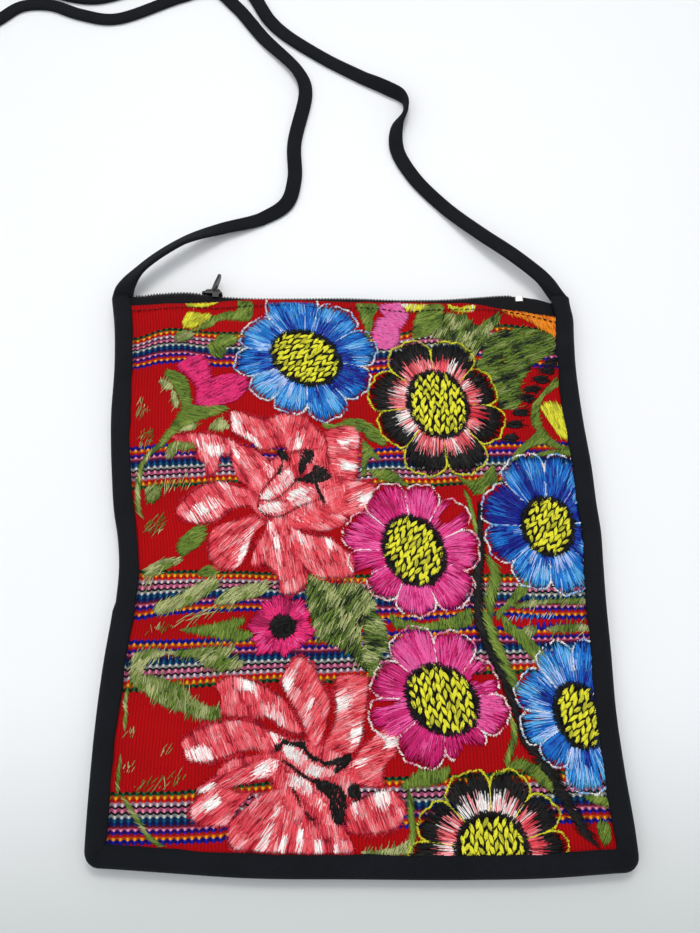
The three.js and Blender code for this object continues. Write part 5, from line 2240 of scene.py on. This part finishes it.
LONG_LOWER = (
    petal(80, 262, 735, 300, 738, 338, 748, 358, 768, 352, 800, 332, 828, 300, 818, 276, 792),
    petal(98, 217, 684, 228, 675, 246, 678, 264, 685, 283, 698, 294, 715, 302, 734, 286, 732, 268, 719,
        250, 720, 224, 716, 221, 698, white=((245, 687, 13, 6, -12), (276, 719, 9, 6, -40))),
    petal(22, 333, 688, 341, 676, 368, 676, 369, 694, 366, 720, 362, 741, 350, 753, 321, 751, 330, 732,
        335, 712, white=((343, 702, 7, 13, 0), (357, 737, 5, 13, 0))),
    petal(58, 283, 676, 297, 656, 312, 662, 321, 679, 330, 698, 328, 720, 319, 744, 309, 747, 302, 726,
        289, 701, 281, 685, white=((289, 682, 6, 9, 0), (310, 705, 4, 10, 0))),
    petal(20, 353, 759, 365, 744, 385, 729, 400, 732, 397, 753, 385, 767, 382, 785, 359, 786, 338, 778,
        346, 767, white=((390, 742, 9, 6, 30), (362, 762, 9, 4, 20))),
    petal(108, 347, 803, 363, 797, 385, 788, 400, 798, 406, 814, 397, 830, 371, 836, 350, 833, 347, 817,
        white=((381, 797, 10, 7, 25), (354, 806, 5, 6, 0))),
    petal(50, 281, 788, 285, 810, 270, 850, 253, 853, 231, 850, 228, 829, 246, 808, 262, 794,
        white=((264, 845, 6, 12, -20), (275, 815, 3, 12, -15))),
    petal(76, 285, 795, 297, 797, 308, 820, 310, 856, 280, 856, 268, 852, 278, 820,
        white=((284, 840, 4, 12, -12), (300, 838, 3, 14, 0))),
    petal(100, 308, 820, 320, 800, 330, 815, 344, 827, 353, 853, 334, 857, 310, 857,
        white=((318, 848, 5, 8, 0), (336, 846, 3, 8, 0))),
    petal(36, 189, 811, 200, 797, 224, 786, 242, 792, 253, 791, 239, 808, 225, 826, 203, 827, 192, 822,
        white=((206, 806, 12, 6, 15),)),
    petal(32, 195, 791, 217, 776, 242, 764, 268, 757, 281, 759, 274, 775, 253, 782, 236, 786, 217, 791,
        202, 795, white=((266, 769, 14, 7, 25), (206, 789, 10, 3, 20))),
    petal(98, 217, 776, 228, 760, 250, 755, 268, 753, 276, 757, 242, 768),
    petal(112, 183, 738, 209, 723, 243, 719, 268, 729, 283, 738, 275, 753, 253, 751, 228, 758, 206, 764,
        189, 761, 184, 750, white=((201, 753, 17, 6, -12), (276, 738, 6, 6, 0))),
    petal(70, 281, 779, 300, 780, 318, 795, 328, 805, 318, 815, 302, 800,
        white=((294, 785, 8, 6, 0), (322, 806, 3, 7, 20))),
    patch(WHITE, 68, 283, 745, 294, 744, 306, 753, 316, 763, 327, 767, 335, 770, 331, 778, 312, 778,
        297, 767, 286, 759, lift=0.5),
    patch(WHITE, 75, 286, 774, 298, 774, 312, 784, 309, 797, 297, 791, lift=0.5),
    patch(BLACK, 75, 281, 737, 291, 741, 305, 741, 308, 751, 319, 759, 312, 762, 302, 751, 283, 745,
        pitch=0.26, lift=0.55),
    patch(BLACK, 60, 318, 759, 327, 761, 340, 756, 352, 752, 349, 764, 340, 772, 333, 776, 335, 767,
        324, 767, pitch=0.26, lift=0.55),
    patch(BLACK, 90, 315, 779, 327, 779, 341, 785, 346, 798, 343, 826, 334, 826, 330, 811, 328, 800,
        318, 791, pitch=0.26, lift=0.55),
    patch(BLACK, 90, 350, 783, 358, 783, 360, 801, 349, 798, pitch=0.26, lift=0.55),
    patch(BLACK, 80, 275, 744, 283, 741, 281, 750, 276, 754, pitch=0.26, lift=0.5),
    stem(BLACK, 6, 62, 0.45, 283, 761, 291, 766, 302, 775, 316, 783, lift=0.58),
    stem(BLACK, 4, 50, 0.6, 292, 788, 297, 797, 300, 806, lift=0.55),
    stem(BLACK, 6, 55, 0.5, 306, 812, 311, 820, 316, 818, lift=0.5),
)
BLACK_STEPS = paired(552, 363, 547, 371, 540, 380, 532, 390, 526, 399, 520, 413, 514, 425, 510, 439)
LEAVES = (
    patch(YELLOW, 60, 182, 326, 184, 318, 190, 311, 200, 312, 212, 314, 205, 322, 196, 328, 186, 329),
    patch(YELLOW, 80, 187, 302, 200, 301, 216, 301, 216, 304, 200, 308, 188, 307),
    patch(GREEN, 62, 190, 331, 203, 324, 212, 316, 227, 311, 237, 310, 239, 300, 252, 300, 254, 310,
        250, 320, 243, 322, 232, 321, 218, 322, 210, 328, 200, 331),
    tangle(MIXED, 30, 173, 338, 181, 331, 192, 330, 194, 336, 186, 341, 178, 342),
    patch(GREEN, 40, 214, 341, 224, 334, 237, 335, 237, 342, 226, 347, 216, 345),
    patch(GREEN, 120, 208, 345, 214, 341, 222, 345, 227, 352, 222, 359, 213, 356),
    patch(HOT, 28, 176, 367, 184, 360, 194, 355, 203, 355, 209, 361, 211, 371, 214, 378, 224, 374, 236, 373,
        246, 376, 251, 383, 246, 392, 236, 400, 218, 406, 200, 407, 194, 404, 196, 392, 192, 382, 184, 374,
        lift=0.3),
    patch(GREEN, 160, 166, 369, 182, 374, 190, 382, 192, 393, 194, 405, 204, 405, 217, 405, 229, 409,
        215, 416, 201, 421, 186, 427, 174, 436, 164, 446, 156, 451, 159, 441, 169, 426, 178, 412, 179, 402,
        175, 392, 170, 382, 163, 375),
    tangle(PALE, 60, 159, 383, 164, 378, 172, 383, 173, 388, 166, 391),
    tangle(PALE, 70, 171, 392, 176, 390, 179, 400, 177, 409, 172, 404),
    tangle(PALE, 70, 209, 430, 217, 417, 227, 420, 229, 428, 222, 431),
    tangle(PALE, 60, 179, 431, 187, 425, 196, 423, 195, 430, 186, 432),
    tangle(PALE, 75, 136, 405, 141, 396, 146, 404, 150, 412, 143, 416, 141, 424, 137, 418, pitch=0.7),
    tangle(MIXED, 65, 139, 445, 142, 431, 152, 429, 156, 436, 148, 446, pitch=0.6),
    stem(MIXED, 7, 28, 0.3, 165, 441, 152, 452, 144, 462, 140, 474, 138, 488, 138, 505, 140, 516),
    tangle(MIXED, 70, 170, 443, 180, 440, 194, 441, 196, 448, 186, 451, 176, 452, 172, 459, 166, 459),
    tangle(MIXED, 60, 145, 490, 153, 484, 162, 486, 160, 496, 152, 505, 146, 501),
    tangle(PALE, 66, 162, 485, 172, 477, 189, 478, 188, 490, 176, 492, 164, 492, pitch=1.0),
    tangle(MIXED, 55, 142, 530, 150, 520, 158, 514, 166, 516, 165, 528, 154, 534, pitch=0.6),
    patch(GREEN, 20, 175, 548, 180, 538, 190, 530, 200, 524, 207, 527, 207, 536, 200, 546, 190, 552,
        180, 556, lift=0.3),
    tangle(PALE, 30, 143, 572, 150, 565, 160, 560, 172, 557, 183, 558, 178, 564, 168, 568, 158, 575,
        148, 577),
    tangle(PALE, 60, 142, 582, 146, 573, 154, 573, 152, 584, 146, 590, pitch=0.6),
    patch(GREEN, 15, 197, 572, 206, 566, 218, 566, 222, 570, 212, 576, 200, 577),
    tangle(PALE, 48, 217, 576, 220, 584, 206, 596, 190, 605, 172, 613, 160, 616, 152, 612, 158, 602,
        172, 597, 186, 590, 202, 581),
    tangle(PALE, 42, 213, 604, 222, 594, 236, 586, 250, 583, 266, 581, 270, 587, 256, 598, 240, 602,
        225, 606),
    tangle(PALE, 30, 176, 621, 190, 614, 212, 606, 236, 605, 230, 612, 205, 619, 186, 624, pitch=0.7),
    patch(GREEN, 75, 180, 630, 195, 626, 215, 622, 232, 618, 242, 617, 245, 622, 238, 628, 250, 630,
        252, 637, 240, 643, 225, 642, 208, 638, 192, 634),
    tangle(MIXED, 70, 145, 631, 155, 626, 170, 624, 172, 630, 158, 633, pitch=0.7),
    tangle(PALE, 60, 131, 660, 140, 650, 155, 648, 165, 652, 160, 658, 148, 662, 142, 672, 140, 683,
        145, 690, 138, 690, 130, 680),
    tangle(MIXED, 55, 162, 652, 180, 650, 200, 647, 225, 645, 236, 648, 228, 656, 242, 660, 240, 668,
        222, 672, 205, 668, 196, 660, 180, 658),
    tangle(MIXED, 82, 130, 682, 140, 690, 150, 699, 166, 710, 180, 713, 196, 720, 212, 722, 221, 718,
        221, 706, 208, 704, 196, 698, 190, 690, 180, 682, 165, 677, 150, 674, 138, 676),
    stem(MIXED, 5, 28, 0.5, 128, 690, 125, 705, 126, 715, 124, 728),
    tangle(PALE, 60, 126, 736, 129, 727, 135, 729, 133, 739, pitch=0.9),
    tangle(PALE, 62, 160, 755, 164, 742, 171, 740, 171, 751, 166, 757, pitch=0.9),
    stem(MIXED, 5, 28, 0.5, 121, 758, 119, 770, 118, 782, 117, 792),
    tangle(PALE, 64, 123, 774, 126, 762, 134, 760, 132, 774, pitch=0.8),
    tangle(MIXED, 62, 136, 781, 150, 777, 168, 773, 184, 771, 184, 783, 168, 790, 150, 793, 138, 793,
        pitch=1.3),
    stem(MIXED, 7, 28, 0.45, 124, 798, 132, 812, 141, 826, 150, 838, 162, 847),
    tangle(SAGE, 62, 305, 581, 312, 572, 320, 576, 332, 582, 350, 581, 362, 583, 374, 600, 366, 618,
        362, 640, 367, 672, 352, 658, 335, 648, 316, 640, 310, 621, 307, 603),
    tangle(SAGE, 165, 374, 600, 378, 613, 386, 624, 390, 635, 392, 647, 382, 657, 376, 678, 367, 672,
        361, 645, 364, 618),
    patch(GREEN, 88, 390, 614, 410, 621, 430, 622, 445, 618, 460, 612, 470, 607, 473, 620, 468, 628,
        450, 631, 430, 631, 410, 630, 395, 628),
    stem(GREEN, 13, 30, 0.28, 492, 560, 495, 578, 490, 598, 488, 620, 496, 645, 508, 672, 517, 690),
    patch(GREEN, 70, 497, 612, 508, 600, 517, 588, 526, 580, 528, 590, 520, 600, 512, 607, 505, 612,
        498, 621),
    tangle(MIXED, 60, 512, 606, 525, 601, 540, 599, 556, 599, 570, 598, 585, 597, 585, 604, 570, 605,
        555, 604, 540, 606, 525, 609),
    patch(GREEN, 100, 502, 614, 512, 622, 525, 632, 536, 643, 544, 654, 544, 661, 536, 663, 526, 652,
        514, 640, 504, 630),
    tangle(MIXED, 60, 522, 628, 534, 625, 536, 633, 526, 637),
    tangle(MIXED, 70, 547, 628, 560, 624, 585, 623, 588, 631, 570, 633, 552, 633),
    patch(BLUE, 60, 508, 618, 520, 614, 540, 613, 554, 613, 552, 619, 530, 621, 512, 622, pitch=0.8),
    stem(BLACK, 7, 32, 0.28, 481, 505, 480, 530, 482, 555, 478, 575),
    stem(BLACK, 13, 32, 0.26, 478, 566, 478, 605, 481, 625, 487, 643, 496, 660, 505, 680, 513, 703, 519, 718,
        524, 735, 534, 750),
    stem(BLACK, 16, 32, 0.26, 530, 744, 545, 765, 555, 780, 563, 795, 572, 810, 583, 828, 590, 842),
    *(
        tangle(BLACK, 8, x - 8, y + 2, x - 6, y - 3, x + 8, y - 4, x + 7, y + 3, pitch=0.3)
        for x, y in BLACK_STEPS
    ),
    patch(GREEN, 50, 531, 408, 538, 398, 546, 389, 558, 376, 558, 386, 545, 396, 541, 404, 540, 415,
        545, 428, 553, 438, 562, 445, 570, 447, 570, 452, 556, 449, 544, 445, 536, 446, 524, 452, 513, 462,
        509, 461, 518, 449, 528, 440, 536, 432, 531, 423),
    patch(GREEN, 60, 528, 458, 540, 452, 556, 449, 571, 449, 571, 456, 556, 455, 540, 457),
    patch(YELLOW, 110, 540, 406, 546, 401, 554, 401, 561, 407, 566, 418, 569, 432, 569, 441, 562, 439,
        555, 431, 548, 420, 542, 412, lift=0.35),
    tangle(SAGE, 64, 432, 338, 434, 328, 440, 318, 447, 311, 458, 314, 466, 312, 470, 318, 478, 325,
        488, 318, 499, 311, 500, 320, 492, 330, 487, 340, 480, 350, 474, 358, 468, 362, 462, 352, 452, 344,
        440, 341),
    tangle(OLIVE, 24, 474, 368, 481, 356, 484, 342, 495, 333, 512, 329, 530, 328, 552, 333, 560, 342,
        556, 352, 545, 357, 535, 364, 528, 374, 522, 384, 523, 396, 520, 406, 508, 410, 498, 407, 494, 390,
        486, 376),
    patch(GREEN, 25, 412, 340, 412, 330, 414, 318, 422, 308, 432, 304, 445, 305, 444, 315, 438, 325,
        432, 334, 420, 338),
    patch(GREEN, 60, 357, 304, 376, 303, 380, 308, 374, 315, 373, 325, 370, 334, 366, 338, 364, 330,
        360, 318),
    patch(ORANGE, 110, 500, 304, 520, 306, 540, 311, 559, 316, 560, 339, 549, 335, 536, 327, 522, 319,
        506, 314, lift=0.3),
    patch(CREAM, 70, 401, 304, 415, 303, 425, 303, 430, 306, 424, 311, 410, 312, 404, 309),
    patch(CREAM, 70, 448, 304, 460, 307, 470, 304, 475, 304, 474, 310, 468, 313, 456, 312, 450, 309),
    patch(BUD, 150, 378, 306, 388, 303, 400, 303, 404, 310, 410, 316, 406, 324, 402, 329, 394, 326, 386, 319,
        380, 312, lift=0.3),
    patch(BUD, 160, 374, 326, 376, 319, 384, 318, 394, 323, 400, 330, 401, 340, 397, 347, 388, 350, 378, 348,
        372, 340, 371, 333, lift=0.3),
    patch(GREEN, 160, 321, 423, 334, 424, 345, 419, 354, 418, 367, 422, 379, 430, 388, 442, 384, 446,
        374, 442, 364, 437, 363, 432, 352, 430, 346, 427, 335, 429, 326, 429),
    patch(GREEN, 40, 362, 440, 369, 443, 375, 450, 380, 460, 370, 458, 367, 465, 366, 475, 361, 474,
        361, 455),
    patch(GREEN, 40, 368, 471, 378, 470, 388, 469, 397, 472, 404, 480, 409, 487, 400, 485, 388, 482,
        378, 480),
    patch(GREEN, 50, 456, 475, 468, 480, 480, 478, 488, 470, 493, 464, 498, 475, 497, 484, 488, 487,
        482, 495, 474, 495, 470, 490, 464, 483),
    stem(GREEN, 5, 28, 0.3, 466, 492, 470, 505, 474, 520, 476, 534),
    patch(GREEN, 88, 401, 785, 408, 778, 416, 771, 425, 768, 440, 768, 449, 766, 449, 775, 444, 783,
        432, 788, 415, 790, 404, 789, lift=0.3),
    stem(GREEN, 9, 28, 0.28, 411, 795, 411, 815, 413, 835, 409, 852),
    tangle(PALE, 70, 363, 851, 380, 849, 395, 846, 408, 840, 412, 846, 411, 856, 390, 857, 366, 857),
    patch(GREEN, 50, 488, 779, 494, 772, 506, 770, 514, 760, 524, 759, 536, 763, 547, 773, 554, 786,
        551, 792, 540, 786, 528, 775, 514, 771, 500, 775),
    stem(GREEN, 8, 28, 0.28, 513, 720, 514, 738, 510, 752, 506, 766),
    patch(GREEN, 70, 598, 822, 608, 822, 611, 840, 604, 846, 598, 835),
    patch(GREEN, 50, 584, 797, 598, 795, 610, 797, 610, 806, 596, 805),
)
TOPSTITCH = paired(128, 312, 186, 308, 270, 306, 330, 309, 372, 309, 405, 313, 430, 311, 480, 310, 515, 314,
    535, 318, 562, 325)


@dataclass
class Embroidery:
    """The flowers, leaves and topstitching on the front."""

    cloth: FrontCloth
    finish: ThreadFinish = ThreadFinish("embroidery_floss")
    lip: float = 7.2
    seed: int = 20
    seam: Edging = Edging(BLACK, 2.3, 2.1, 2.0, 0.2, thick=1.5)
    seam_lift: float = 0.75

    def write(self, name: str, laid: Stitches, floss: Material) -> None:
        """Makes one piece of what shows of some stitches."""
        shown = laid.trimmed(self.cloth.outline, self.lip)
        write_piece(name, shown.surface(self.cloth.height), floss, Slot.FRONT)

    def build(self) -> None:
        """Makes the groups, each with its own seed, and the seam of topstitching."""
        floss = self.finish.material()
        groups = {
            "leaf_stitches": LEAVES,
            "long_flower_upper": LONG_UPPER,
            "long_flower_lower": LONG_LOWER,
            "round_flowers_upper": ROUND_UPPER,
            "round_flowers_lower": ROUND_LOWER,
        }
        for k, (name, motifs) in enumerate(groups.items()):
            rng = np.random.default_rng(self.seed + k)
            laid = [part for motif in motifs for part in motif.stitches(self.cloth, rng)]
            self.write(name, Stitches.joined(laid), floss)
        rng = np.random.default_rng(self.seed)
        line = open_curve(self.cloth.on_cloth(TOPSTITCH), 200)
        self.write("top_seam_stitches", self.seam.along(line, self.seam_lift, rng), floss)


def main() -> None:
    """Builds the pieces in order."""
    camera = PhotoCamera()
    camera.build()
    Studio().build()
    outline = BagOutline()
    Strap(TwillFinish("strap_twill", wale=0.8)).build()
    cloth = FrontCloth(outline, camera)
    cloth.build()
    BackCloth(outline).build()
    Binding(outline, TwillFinish("binding_twill")).build()
    Zip(outline).build()
    Embroidery(cloth).build()


if __name__ == "__main__":
    logging.basicConfig(level=logging.INFO, format="%(message)s")
    main()
